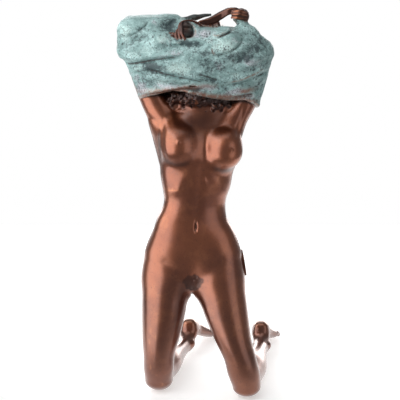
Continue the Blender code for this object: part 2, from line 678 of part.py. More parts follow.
def main():
    for old in list(bpy.data.objects):
        bpy.data.objects.remove(old, do_unlink=True)
    brown = bronze("brown bronze", (0.16, 0.055, 0.03), 0.32, 0.9)
    green = bronze("green shirt patina", (0.21, 0.36, 0.31), 0.6, 0.35)
    dark = bronze("dark plate bronze", (0.05, 0.03, 0.025), 0.4, 0.9)
    statue = make_statue(brown, green)

    corners = np.array([vertex.co for vertex in statue.data.vertices])
    middle = (corners.min(axis=0) + corners.max(axis=0)) / 2
    to_world = (Matrix.Scale(SCALE, 4)
                @ Matrix.Translation((-middle[0], -middle[1], -STUDY_GROUND)))
    statue.data.transform(to_world)

    reach = 2 * FIGURE_HEIGHT
    ground = bmesh.new()
    bmesh.ops.create_cube(ground, size=reach, matrix=Matrix.Translation((0, 0, -reach / 2)))
    cut(statue, cutter("ground cut", ground))

    normal = Vector(PLATE_NORMAL).normalized()
    upright = normal.to_track_quat('Z', 'Y').to_matrix().to_4x4()
    seat_place = to_world @ Vector(PLATE_PLACE) - normal * PLATE_SEAT_DEPTH
    seat = bmesh.new()
    seat_radius = PLATE_DIAMETER / 2 + PLATE_CLEARANCE
    seat_depth = PLATE_THICKNESS + 2 * PLATE_SEAT_DEPTH
    bmesh.ops.create_cone(seat, cap_ends=True, segments=64, radius1=seat_radius, radius2=seat_radius,
                          depth=seat_depth, matrix=Matrix.Translation((0, 0, seat_depth / 2)))
    bmesh.ops.transform(seat, matrix=Matrix.Translation(seat_place) @ upright, verts=seat.verts)
    cut(statue, cutter("plate seat", seat))

    plate = make_plate(dark)
    plate.matrix_world = Matrix.Translation(seat_place + normal * PLATE_CLEARANCE) @ upright


main()
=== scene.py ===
"""Looks of a small cast bronze: a kneeling woman who pulls a shirt up over her head and arms.

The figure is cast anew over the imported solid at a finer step, with the folds, hair, fingers and
toes of the real casting, and is patinated brown on the skin and green on the shirt. Its free
forms are set out in the millimetres of a study and are then scaled, as the solid's are.
"""
import math

import bmesh
import bpy
import numpy as np
from bpy.props import FloatProperty, FloatVectorProperty, IntProperty, PointerProperty
from mathutils import Matrix, Vector


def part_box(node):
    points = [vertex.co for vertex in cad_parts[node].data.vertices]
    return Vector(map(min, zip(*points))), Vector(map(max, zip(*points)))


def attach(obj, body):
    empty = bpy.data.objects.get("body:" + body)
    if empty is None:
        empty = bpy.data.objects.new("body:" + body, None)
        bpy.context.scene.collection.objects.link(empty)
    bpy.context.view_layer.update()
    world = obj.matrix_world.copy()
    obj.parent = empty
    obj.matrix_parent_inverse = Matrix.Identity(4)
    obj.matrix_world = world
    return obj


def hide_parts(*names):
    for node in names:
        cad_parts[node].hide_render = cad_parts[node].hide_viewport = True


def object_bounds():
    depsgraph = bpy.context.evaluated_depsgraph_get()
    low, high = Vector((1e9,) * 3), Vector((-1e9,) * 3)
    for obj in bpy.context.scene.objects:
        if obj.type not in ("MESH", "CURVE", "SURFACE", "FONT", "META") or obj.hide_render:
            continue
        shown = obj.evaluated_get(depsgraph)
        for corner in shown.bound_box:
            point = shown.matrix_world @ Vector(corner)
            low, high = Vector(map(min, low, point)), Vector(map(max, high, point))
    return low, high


bl_info = {
    "name": "Kneeling bronze",
    "version": (1, 0, 0),
    "blender": (4, 5, 0),
    "location": "3D View > Sidebar > Bronze",
    "description": "Casts, patinates and stages a small bronze of a woman pulling off a shirt",
    "category": "Object",
}

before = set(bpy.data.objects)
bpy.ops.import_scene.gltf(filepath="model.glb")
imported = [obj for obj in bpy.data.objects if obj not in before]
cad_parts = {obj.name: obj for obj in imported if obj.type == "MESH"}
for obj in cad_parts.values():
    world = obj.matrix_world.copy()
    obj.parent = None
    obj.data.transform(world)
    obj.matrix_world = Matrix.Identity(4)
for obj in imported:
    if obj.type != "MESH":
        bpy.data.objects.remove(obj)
SOLID_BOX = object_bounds()

FIGURE_HEIGHT = 0.303       # from the ground to the top of the rolled neckline over the fist
SHIRT_WALL = 0.0036         # thickness of the cloth where its hem hangs free
HEM_RECESS = 0.011          # depth of the hollow under the hem
HEM_ROLL = 0.0006           # how far the rolled hem stands proud of the cloth
NECK_RECESS = 0.009         # depth of the hollow inside the shirt's neck opening

PLATE_DIAMETER = 0.021
PLATE_THICKNESS = 0.0021
PLATE_SEAT_DEPTH = 0.0011   # how far the plate's back lies below the skin of the hip
PLATE_CLEARANCE = 0.0003    # gap between the plate and its seat

STUDY_GROUND = 1.0          # knees, shins and toes are ground off flat at this height
STUDY_TOP = 304.0

# In study millimetres: the hem's height at places across the front, how deep those lie, and
# how much lower the hem hangs for each millimetre further back.
HEM_PLACES = (-50, -43, -30, -16, -8, -4, 4, 14, 25, 38, 44, 51)
HEM_HEIGHTS = (238.5, 239.5, 241, 243.4, 242.6, 241, 239.3, 237.3, 236.4, 237, 235, 232)
HEM_FRONT = -20.0
HEM_DROP = 0.26

# Place towards the inner side, reach and radius of each toe, from the big one outwards.
TOES = ((7.4, 1.00, 3.2), (2.9, 0.98, 2.5), (-0.9, 0.90, 2.4), (-4.5, 0.80, 2.3), (-7.9, 0.66, 2.3))

PLATE_PLACE = (37.6, 9.0, 103.0)    # point on the skin of the left hip
PLATE_NORMAL = (0.985, 0.05, 0.155)

# The photograph's camera, in study millimetres: what it looks at, from how far, how high.
CAMERA_TARGET = (3.9, 0.0, 155.5)
CAMERA_DISTANCE = 1000.0
CAMERA_ELEVATION = math.radians(12.0)
CAMERA_LENS = 116.1         # real millimetres, and so is the sensor's width
CAMERA_SENSOR = 36.0

# Spots of patina on the front of the shirt, which also hold painted shade (the dark spots) and
# painted highlights (the pale and bloom spots): middle (x, z), half width, half height, strength.
DARK_PATINA_AND_SHADE_SPOTS = (
    (-18, 291.6, 5.5, 5.5, 1.0), (-5, 278.5, 9.0, 2.6, 0.9), (35.8, 267.7, 6.5, 3.6, 1.0),
    (27, 269.6, 5.0, 7.0, 0.5), (-31, 260, 6.5, 3.6, 0.9), (-34.3, 248.7, 5.5, 4.5, 0.5),
    (48.4, 248, 4.0, 3.5, 0.6), (41, 259, 5.0, 3.0, 0.6), (7.6, 266, 4.0, 5.0, 0.5),
    (-40.6, 284.5, 6.0, 4.0, 0.3), (21.7, 261.4, 9.0, 6.0, 0.4), (28.4, 289.7, 3.5, 3.0, 0.5),
    (3.9, 251.7, 9.0, 2.0, 0.5), (-13, 283, 2.5, 5.0, 0.7), (46, 276, 5.0, 8.0, 0.35),
    (-5, 288.5, 3.5, 4.5, 1.0), (-3, 243.6, 8.0, 1.6, 0.9), (10, 272.5, 9.0, 2.0, 0.5),
    (52, 262, 4.0, 6.0, 0.4), (-20, 256.5, 9.0, 1.8, 0.5),
)
# Pale patina, with painted highlights on the mounds of the folds.
PALE_PATINA_AND_HIGHLIGHT_SPOTS = (
    (23.2, 277, 8.0, 5.0, 1.0), (-11.7, 260, 9.0, 4.0, 0.9), (-51.7, 286, 5.0, 6.0, 0.8),
    (-24.3, 281.1, 5.0, 3.0, 0.9), (-36.9, 271.8, 9.0, 4.0, 0.6), (-42.8, 259.2, 4.5, 3.5, 0.7),
    (33.5, 294, 4.0, 4.0, 0.7), (27.6, 255.5, 7.0, 3.0, 0.4), (-22, 249.5, 7.0, 2.2, 0.6),
    (45, 268, 4.0, 5.0, 0.3),
)
# Lilac bloom, with painted highlights.
BLOOM_AND_HIGHLIGHT_SPOTS = (
    (41, 264.4, 6.5, 3.0, 0.9), (-39.8, 245.8, 4.5, 3.0, 1.0), (31.3, 242, 8.0, 2.6, 0.9),
    (6.9, 286, 5.0, 3.0, 0.7), (-14, 271.5, 6.0, 2.5, 0.6), (-29.4, 292, 4.0, 3.5, 0.5),
    (17.2, 261.4, 3.5, 4.0, 0.5), (-22, 280, 4.0, 2.5, 0.5), (3, 241, 8.0, 2.0, 0.6),
    (0.5, 284, 3.0, 3.0, 0.8), (-20, 246, 12.0, 2.6, 0.8), (8, 245, 14.0, 3.5, 0.7),
    (-41, 242, 6.0, 3.5, 0.9), (40, 238, 8.0, 3.0, 0.7), (-26, 269, 7.0, 2.5, 0.5),
    (30, 281, 5.0, 3.0, 0.5), (-44, 252, 4.0, 4.0, 0.6),
)
# Dark places on the skin, given in the same way: the throat, under the hem, and the navel.
SHADE_SPOTS = ((4, 220, 24.0, 12.0, 0.8), (4, 234, 20.0, 6.0, 1.0), (0.8, 137.8, 1.0, 4.2, 0.8))

# Strokes where the bronze is rubbed bright, and painted highlights: glints on the fingers of the
# fist and along lit edges of folds in the shirt, as points (x, z).
RUBBED_AND_HIGHLIGHT_STROKES = (
    ((-35.1, 55.3), (-34.2, 53.6)), ((-29.6, 50.4), (-31.2, 49.2), (-30.4, 47.0)),
    ((-33.6, 38.7), (-34.0, 36.2)), ((-35.3, 26.8), (-34.6, 24.6), (-35.5, 22.6)),
    ((-31.4, 18.6), (-29.0, 17.6)), ((-33.8, 30.2), (-32.4, 29.6)), ((-36.0, 46.2), (-35.2, 44.4)),
    ((-27.6, 11.6), (-25.4, 10.0), (-26.6, 8.4)),
    ((24.7, 249.3), (34, 251.2), (43.4, 254.8), (51, 258.4)),
    ((12.5, 275.0), (13.4, 272.0), (15.7, 270.0)), ((13.5, 284.7), (16.4, 283.9), (23, 286.8)),
    ((-30, 168), (-20, 166), (-8, 167.5)), ((28, 300.5), (33, 301.0), (38, 300)),
    ((28, 298.4), (33.4, 298.6), (38, 297.8)), ((27.8, 296.2), (33, 295.8), (36, 295.4)),
)
# Strokes of shade on the skin: under each breast, and down the inner side of the right thigh.
SHADE_STROKES = (
    ((-26, 197), (-23, 190.4), (-15, 187.0), (-6, 188.2), (-0.5, 192.5)),
    ((9.5, 189), (15, 183.6), (23, 181.2), (31, 182.2), (37, 186)),
)
INNER_THIGH_SHADE = (((-9, 104), (-9.5, 90), (-11, 76), (-13.5, 60), (-15.5, 44)),)
# Strokes along the hem where the shirt is rubbed brown.
HEM_STROKES = (
    ((-46, 240.2), (-33.8, 242.0), (-27.6, 242.6), (-14.8, 244.2), (-6.5, 245.6), (6, 246.6),
     (16, 247)),
    ((-10, 242.8), (0, 241.0), (10, 239.2), (20, 238.2), (30, 238.2), (44, 238.4)),
    ((26, 235.4), (34, 235.0), (42, 234.0), (50, 233)), ((33, 241.6), (38, 242.2), (46, 243.6)),
)

# The floor's corners in metres: near on the left, so that the legs mirror the key light.
FLOOR_CORNERS = ((-0.115, -0.13), (0.20, -0.30), (0.60, 0.52), (-0.60, 0.52))
FLOOR_GAP = 0.0002          # how far the floor lies under the shins
FLOOR_FADE = (-0.16, -0.03) # depths between which it goes from dark to lit

# Softboxes: name, degrees around the figure from its front to its left, then rise, distance and
# size in metres, and the property that holds the power. All aim at one point.
SOFTBOXES = (
    ("key softbox", -57, 0.20, 0.95, (1.32, 1.90), "key_power"),
    ("fill softbox", 50, 0.10, 0.95, (0.55, 1.10), "fill_power"),
    ("back strip", 180, 0.10, 1.7, (2.4, 0.6), "back_power"),
    ("top light", -60, 1.3, 0.35, (1.6, 1.6), "top_power"),
)
LIGHT_AIM = (0, 0, 0.15)

# In study millimetres again, for the marks that guide the patina.
SEAM = 0.7                  # width over which one patina gives way to the next
RIMS_FROM = 280             # rims above this height are rubbed: the neck's and the loop's
HEAD_HAIR_FROM = 110        # curls above this height are as dark as the locks
CREASE_REACH = 1.3          # how far around a point its creases are looked for
HOLLOW_REACH = 3.6          # the same for its wider hollows
FAR = 60.0                  # a distance beyond the reach of every form

SCALE = FIGURE_HEIGHT / (STUDY_TOP - STUDY_GROUND)


def study(length):
    """A length in metres, as millimetres of the study."""
    return length / SCALE


def study_origin():
    """Where the study's origin lies in the world, worked out from the plate on the hip."""
    low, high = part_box("hip_plate")
    normal = Vector(PLATE_NORMAL).normalized()
    outwards = PLATE_SEAT_DEPTH - PLATE_CLEARANCE - PLATE_THICKNESS / 2
    return (low + high) / 2 + normal * outwards - Vector(PLATE_PLACE) * SCALE


ORIGIN = study_origin()
TO_WORLD = Matrix.Translation(ORIGIN) @ Matrix.Scale(SCALE, 4)


def unit(values):
    """Values held between 0 and 1."""
    return np.clip(values, 0.0, 1.0)


def ramp(values, start, width):
    """0 up to start, 1 from start + width on, and straight in between."""
    return unit((values - start) / width)


def smooth_min(a, b, blend):
    """Union of two distances with a soft fillet about blend wide."""
    mix = unit(0.5 + 0.5 * (b - a) / blend)
    return b + (a - b) * mix - blend * mix * (1.0 - mix)


def smooth_path(points, steps):
    """Rows read from a Catmull-Rom curve through the given rows, steps to each span."""
    rows = np.array(points, float)
    padded = np.vstack([2 * rows[0] - rows[1], rows, 2 * rows[-1] - rows[-2]])
    out = []
    for p0, p1, p2, p3 in zip(padded, padded[1:], padded[2:], padded[3:]):
        for t in np.linspace(0.0, 1.0, steps, endpoint=False):
            out.append(0.5 * (2 * p1 + (p2 - p0) * t + (2 * p0 - 5 * p1 + 4 * p2 - p3) * t ** 2
                              + (3 * p1 - p0 - 3 * p2 + p3) * t ** 3))
    out.append(rows[-1])
    return np.array(out)


def oval_distance(parts, radii, power):
    """Approximate distance to a (super)ellipsoid, from offsets and radii along its own axes."""
    shares = [np.abs(part / radius) for part, radius in zip(parts, radii)]
    size = sum(share ** power for share in shares) ** (1.0 / power)
    slope = np.sqrt(sum((share / radius) ** 2 for share, radius in zip(shares, radii)))
    return size * (size - 1.0) / np.maximum(slope, 1e-4)


def box_of(centres, radii):
    """Lowest and highest corner around balls given by centre and radius."""
    centres = np.array(centres, float)
    radii = np.array(radii, float)
    return (centres - radii).min(axis=0), (centres + radii).max(axis=0)


class Loft:
    """Oval sections strung along a straight axis.

    Each station is (height, side shift, front shift, half width, front depth, back depth,
    turn), with the turn in degrees, positive when the section's front turns to its side, and
    left out where it is 0.
    """

    def __init__(self, start, axis, side, stations, caps, blend=6.0, power=2.0):
        self.start = np.array(start, float)
        self.axis = np.array(axis, float) / np.linalg.norm(axis)
        side = np.array(side, float)
        side -= self.axis * side.dot(self.axis)
        self.side = side / np.linalg.norm(side)
        self.front = np.cross(self.side, self.axis)
        self.table = smooth_path([(*station, 0)[:7] for station in stations], 6)
        self.caps = caps
        self.blend = blend
        self.power = power
        rows = self.table
        centres = (self.start + np.outer(rows[:, 0], self.axis) + np.outer(rows[:, 1], self.side)
                   + np.outer(rows[:, 2], self.front))
        reach = rows[:, 3:6].max(axis=1) + max(caps)
        self.box = box_of(centres, np.repeat(reach[:, None], 3, axis=1))

    def distance(self, points):
        away = points - self.start
        height = away @ self.axis
        held = np.clip(height, self.table[0, 0], self.table[-1, 0])
        shift_side, shift_front, width, front, back, turn = (
            np.interp(held, self.table[:, 0], self.table[:, i]) for i in range(1, 7))
        turn = np.radians(turn)
        x = away @ self.side - shift_side
        y = away @ self.front - shift_front
        across = x * np.cos(turn) - y * np.sin(turn)
        ahead = y * np.cos(turn) + x * np.sin(turn)
        beyond = height - held
        depth = np.where(ahead > 0.0, front, back)
        cap = np.where(beyond > 0.0, self.caps[1], self.caps[0])
        return oval_distance((across, ahead, beyond), (width, depth, cap), self.power)


def upright(stations, **rest):
    """A loft straight up from the study's origin."""
    return Loft((0, 0, 0), (0, 0, 1), (1, 0, 0), stations, **rest)


class Ball:
    """An ellipsoid, turned about Z in degrees."""

    def __init__(self, centre, radii, turn=0.0, blend=5.0, power=2.0):
        self.centre = np.array(centre, float)
        self.radii = np.array(radii, float)
        self.frame = np.array(Matrix.Rotation(math.radians(turn), 3, 'Z'))
        self.blend = blend
        self.power = power
        self.box = box_of([self.centre], [np.full(3, self.radii.max())])

    def distance(self, points):
        own = (points - self.centre) @ self.frame
        return oval_distance(own.T, self.radii, self.power)


class Cord:
    """A round strand through points of (x, y, z, radius)."""

    def __init__(self, points, blend=2.0, steps=4):
        self.path = smooth_path(points, steps)
        self.blend = blend
        self.box = box_of(self.path[:, :3], self.path[:, 3:])

    def distance(self, points):
        nearest = np.full(len(points), np.inf)
        for a, b in zip(self.path, self.path[1:]):
            span = b[:3] - a[:3]
            away = points - a[:3]
            along = unit(away @ span / max(span @ span, 1e-9))
            gap = np.linalg.norm(away - along[:, None] * span, axis=1)
            nearest = np.minimum(nearest, gap - a[3] - along * (b[3] - a[3]))
        return nearest


class Line:
    """A line carved into the front (facing -1) or the back (facing 1), through points (x, z).

    It is raised when height is positive and cut when negative, and it fades out at its ends
    and past the middle plane, so it follows whatever surface it meets. Its width may differ
    on the side below, which makes a lapped edge of cloth.
    """

    def __init__(self, points, height, width, below=None, facing=-1, middle=0.0, fade=0.15):
        self.path = smooth_path(points, 4)
        self.height = height
        self.width = width
        self.below = below or width
        self.facing = facing
        self.middle = middle
        self.fade = fade
        reach = 2.6 * max(self.width, self.below)
        low = self.path.min(axis=0) - reach
        high = self.path.max(axis=0) + reach
        self.box = (np.array((low[0], -80.0, low[1])), np.array((high[0], 80.0, high[1])))

    def relief(self, points):
        flat = points[:, (0, 2)]
        nearest = np.full(len(points), np.inf)
        place = np.zeros(len(points))
        over = np.zeros(len(points), bool)
        count = len(self.path) - 1
        for index, (a, b) in enumerate(zip(self.path, self.path[1:])):
            span = b - a
            away = flat - a
            along = unit(away @ span / (span @ span))
            gap = np.linalg.norm(away - along[:, None] * span, axis=1)
            closer = gap < nearest
            nearest[closer] = gap[closer]
            place[closer] = ((index + along) / count)[closer]
            over[closer] = (span[0] * away[:, 1] - span[1] * away[:, 0])[closer] > 0.0
        ends = unit(np.minimum(place, 1.0 - place) / self.fade)
        side = unit((points[:, 1] - self.middle) * self.facing / 4.0)
        width = np.where(over, self.width, self.below)
        return self.height * side * (0.2 + 0.8 * ends) * np.exp(-(nearest / width) ** 2)


def near(points, box, margin):
    """Which points lie in a box or within a margin around it."""
    low, high = box
    return np.all((points > low - margin) & (points < high + margin), axis=1)


def union(points, forms, lines=()):
    """Distance to forms joined with their own fillets, with the lines carved in."""
    total = np.full(len(points), FAR)
    for form in forms:
        mask = near(points, form.box, form.blend + 5.0)
        if mask.any():
            total[mask] = smooth_min(form.distance(points[mask]), total[mask], form.blend)
    for line in lines:
        mask = near(points, line.box, 0.0)
        if mask.any():
            total[mask] -= line.relief(points[mask])
    return total


def torso():
    """Pelvis, belly and rib cage as one upright loft, with the main muscles laid on it."""
    trunk = upright([
        (99, -1.8, -3, 34.5, 16, 18, -2),
        (112, -1.5, -2, 34.9, 17.5, 18.5, 0),
        (122, -1.8, -1, 32.4, 17.5, 17, 4),
        (132, -2.0, 0, 30.1, 16.5, 16, 8),
        (141, -2.5, 0, 27.3, 15.5, 15, 10),
        (150, -0.8, 0, 24.6, 14.8, 14.5, 11),
        (157, 0.3, 0, 24.3, 15.5, 15, 11),
        (166, 1.2, 0, 26.4, 17.2, 17, 12),
        (176, 1.3, 0, 28.0, 18.5, 19, 12),
        (187, 2.0, 0, 29.0, 19.5, 20.5, 12),
        (198, 2.4, -1, 30.5, 19, 21.5, 12),
        (208, 2.2, -2, 31.0, 17.5, 20.5, 12),
        (217, 2.6, -4, 28.0, 15.0, 17.5, 12),
        (225, 4.5, -5, 19.0, 11, 12, 12),
    ], caps=(13, 5), power=2.2)
    return [
        trunk,
        Ball((-19.0, 12, 98), (18, 18, 20), blend=8),
        Ball((16.5, 10, 97), (18, 18, 20), blend=8),
        Ball((-12.8, -12.5, 206.5), (10.5, 8.0, 9.0), blend=7),
        Ball((22.8, -9.0, 202.5), (11.0, 8.5, 9.5), turn=18, blend=7),
        Ball((-12.4, -14.0, 199.4), (12.6, 11.6, 12.6), blend=6.5),
        Ball((22.8, -10.6, 195.0), (13.4, 12.2, 13.2), turn=18, blend=6.5),
        Ball((-12.3, -24.6, 204.8), (0.8, 0.4, 0.8), blend=1.6),
        Ball((27.4, -21.4, 198.4), (0.8, 0.4, 0.8), blend=1.6),
    ]


def shoulders():
    """Neck and jaw, collar bones, and the muscles that run up into the raised arms."""
    neck = Loft((6, 4, 222), (-0.05, -0.1, 1), (1, 0, 0), [
        (0, 0, 0, 11, 9, 10, 12),
        (8, 0, 0, 9.3, 8.5, 9, 12),
        (30, 0, 0, 9.5, 9, 10, 12),
    ], caps=(6, 6), blend=6)
    return [
        neck,
        Ball((2.5, -7.0, 240), (7.5, 8.5, 7.5), blend=3),
        Ball((-11, 9, 224), (13, 9, 8), blend=6),
        Ball((19, 9, 222), (13, 9, 8), blend=6),
        Ball((5, 0, 222), (21, 8.5, 7), blend=7),
        Cord([(-15, -9, 207, 7), (-22, -3.5, 217, 6.2), (-26, -1, 226, 5.4), (-30, 0, 236, 5)],
             blend=7),
        Cord([(24, -8, 202, 7), (29, -2.5, 212, 6), (32.5, 0, 222, 5), (36, 1, 232, 5)], blend=7),
        Cord([(-20, 6, 190, 8), (-23.5, 6, 203, 8.5), (-26, 5, 214, 8)], blend=7),
        Cord([(24, 7, 188, 8), (26, 6, 200, 8), (27, 5, 210, 8)], blend=7),
        Cord([(-23.5, 3, 215, 9.6), (-31.5, 2, 232, 9.4), (-40.5, 1, 252, 7.6), (-47, 0, 270, 5.5)],
             blend=6),
        Cord([(26, 3, 213, 9.6), (38.0, 3, 231, 8.8), (44, 2, 248, 7.4), (49, 1, 264, 5.5)],
             blend=6),
    ]


def lock(points, radius, waves, swing, blend=0.9):
    """A lock of hair that waves from side to side on its way down."""
    path = smooth_path(points, 5)
    share = np.linspace(0.0, 1.0, len(path))
    path[:, 0] += swing * np.sin(2 * np.pi * waves * share)
    path[:, 1] += 0.5 * swing * np.cos(2 * np.pi * waves * share)
    thick = radius * (1.0 - 0.45 * share)
    return Cord(np.column_stack([path, thick]), blend=blend, steps=2)


def hair():
    """Loose locks that fall beside the neck and over the jaw, with a mass behind them."""
    forms = [Ball((4, 13, 236), (19, 8, 13), blend=5),
             Ball((-10, 0, 237), (9, 8, 7), blend=4),
             Ball((4, -4, 236), (14, 8.5, 8.5), blend=4),
             Ball((18, 0, 234), (9, 8, 8), blend=4)]
    right = ((-8, -18, -6), (-5, -11, -9), (-13, -21, -2), (-3, -5, -10))
    left = ((11, 15, -9), (15, 21, -7), (19, 27, -3), (23, 31, 0))
    for places, (top, middle, bottom), aside, hand in ((right, (244, 235, 231.5), -1.9, 1.0),
                                                       (left, (242, 232, 227), 1.8, -1.0)):
        for start, end, front in places:
            points = [(start, front + 2, top), ((start + end) / 2, front, middle),
                      (end, front + 1, bottom)]
            forms.append(lock(points, 2.5, 1.2, 1.1 * hand))
            points = [(x + aside, y - 1.3, z + 0.8) for x, y, z in points]
            forms.append(lock(points, 1.5, 1.7, 0.9 * hand))
    for index in range(6):
        x = -1.0 + 2.6 * index
        points = [(x, -9.5, 243), (x + 0.4, -13.2, 236), (x + 0.8, -11.4, 229.6 - 0.5 * index)]
        forms.append(lock(points, 2.1, 1.3, 1.0 if index % 2 else -1.0))
    for index in range(5):
        x = -4.5 + 3.1 * index
        forms.append(lock([(x, -13.5, 246), (x + 1.2, -15.2, 240.5), (x + 0.4, -13.2, 236.0)],
                          1.5, 1.0, 1.0 if index % 2 else -1.0))
    return forms


def leg(inner, knee, ankle, heel, toe, calf_width, thigh_stations):
    """Upright thigh, shin laid back along the ground, and a foot resting on its upper side.

    The big toe is on the inner side, which is 1 towards the figure's left and -1 to its right.
    """
    knee, ankle, heel, toe = (np.array(point, float) for point in (knee, ankle, heel, toe))
    shin = ankle - knee
    length = np.linalg.norm(shin)
    forward = (toe - heel) / np.linalg.norm(toe - heel)
    across = np.cross(forward, (0, 0, 1))
    across /= np.linalg.norm(across)
    calf = Loft(knee, shin, across, [
        (0.00 * length, 0, 0, 9.5, 9.5, 9.5),
        (0.20 * length, 0, 0, 0.94 * calf_width, 10.5, 10.0),
        (0.38 * length, 0, 0, calf_width, 11.5, 10.5),
        (0.58 * length, 0, 0, 0.80 * calf_width, 9.5, 9.5),
        (0.78 * length, 0, 0, 0.60 * calf_width, 6.8, 7.5),
        (1.00 * length, 0, 0, 5.6, 6.0, 6.6),
    ], caps=(8, 5), blend=7)
    ball = heel + (toe - heel) * 0.70
    sole = np.linalg.norm(ball - heel)
    foot = Loft(heel - (0, 0, 3.0), ball - heel + (0, 0, 2.0), across, [
        (0.0 * sole, 0, 0, 5.6, 6.0, 5.0),
        (0.3 * sole, 0.4 * inner, 0, 6.2, 7.0, 4.6),
        (0.6 * sole, 0.4 * inner, 0, 7.6, 5.8, 4.4),
        (0.9 * sole, 0, 0, 9.8, 4.6, 4.4),
        (1.0 * sole, 0, 0, 10.0, 4.4, 4.4),
    ], caps=(4, 4), blend=5)
    forms = [
        upright(thigh_stations, caps=(7.0, 21), blend=13),
        calf,
        Ball(heel - forward * 1.5 + (0, 0, -2.0), (6.2, 6.6, 7.2), power=3.2, blend=4),
        Cord([(*ankle, 6.0), (*(heel - (0, 0, 4.5)), 6.4)], blend=5),
        foot,
        Ball(ankle + across * 5.2 + (0, 0, 0.5), (2.4, 2.8, 2.4), blend=3),
        Ball(ankle - across * 5.2 + (0, 0, -0.6), (2.4, 2.8, 2.4), blend=3),
    ]
    for place, reach, radius in TOES:
        root = ball + across * place * inner
        tip = root + (toe - ball) * reach
        middle = (root + tip) / 2 + (0, 0, 0.6)
        forms.append(Cord([(*root, radius), (*middle, radius * 0.88), (*tip, radius)], blend=0.7))
    return forms


def legs():
    right_thigh = [
        (10, -29.2, 4, 10.2, 10, 12),
        (20, -28.8, 6, 11.8, 11, 13),
        (32, -28.4, 6, 12.4, 12, 13),
        (45, -27.0, 5, 14.6, 13.5, 14),
        (64, -24.8, 3, 17.0, 15.5, 16.5),
        (79, -23.6, 1, 18.0, 16.5, 19),
        (93, -22.4, -1, 18.0, 16, 20),
        (108, -20.4, -3, 16.0, 13, 17),
    ]
    left_thigh = [
        (9, 40.4, 17, 10.6, 10, 12),
        (20, 38.3, 18, 12.6, 11, 13),
        (32, 35.4, 17, 12.8, 12, 13),
        (47, 29.8, 14, 14.4, 13.5, 14),
        (66, 24.4, 9, 17.2, 15.5, 16.5),
        (81, 21.2, 5, 18.4, 16.5, 19),
        (95, 19.2, 2, 17.8, 16, 20),
        (110, 17.2, -1, 15.6, 13, 17),
    ]
    right = leg(1, (-28.6, 2, 10.5), (-8.0, 84, 11.5), (-5.0, 96, 24.0), (15.0, 136, 3.6), 9.0,
                right_thigh)
    left = leg(-1, (41.0, -10, 10.5), (57.0, 80, 11.0), (56.8, 92, 23.0), (67.0, 134, 3.6), 11.2,
               left_thigh)
    return right + left


def laid_on(forms, points, sink=0.0):
    """Rows of (x, y, z, radius) from rows of (x, z, radius), laid on the front of the forms."""
    rows = np.array(points, float)
    in_front = np.full(len(rows), -48.0)
    spots = np.column_stack([rows[:, 0], in_front, rows[:, 1]])
    for _ in range(60):
        spots[:, 1] += np.clip(union(spots, forms) * 0.8, 0.0, 4.0)
    spots[:, 1] += sink
    return np.column_stack([spots, rows[:, 2]])


def curls(body):
    """Small open rings in low relief, at the fork of the legs and in the hair over the jaw."""
    spots = []
    count = 34
    for index in range(count):
        turn = 2.4 * index
        spread = math.sqrt((index + 0.5) / count)
        z = 92.4 + 5.6 * spread * math.sin(turn)
        x = -1.7 + (3.2 + 0.52 * (z - 86)) * spread * math.cos(turn)
        spots.append((x, z, 1.1 + 0.25 * math.sin(5.0 * index), turn))
    spots += [(-11.2, 234.0, 1.3, 0.4), (-6.8, 234.4, 1.4, 2.0), (-4.0, 232.6, 1.5, 3.7),
              (-1.6, 230.6, 1.4, 5.1), (-3.8, 235.4, 1.3, 1.2), (-0.6, 233.6, 1.3, 4.4),
              (12.8, 231.0, 1.3, 0.9), (17.6, 230.0, 1.4, 2.7), (22.0, 229.6, 1.2, 4.8)]
    forms = []
    for x, z, size, turn in spots:
        angles = [turn + 1.05 * corner for corner in range(6)]
        ring = [(x + size * math.cos(angle), z + size * math.sin(angle), 0.7) for angle in angles]
        forms.append(Cord(laid_on(body, ring, -0.3), blend=0.3, steps=2))
    return forms


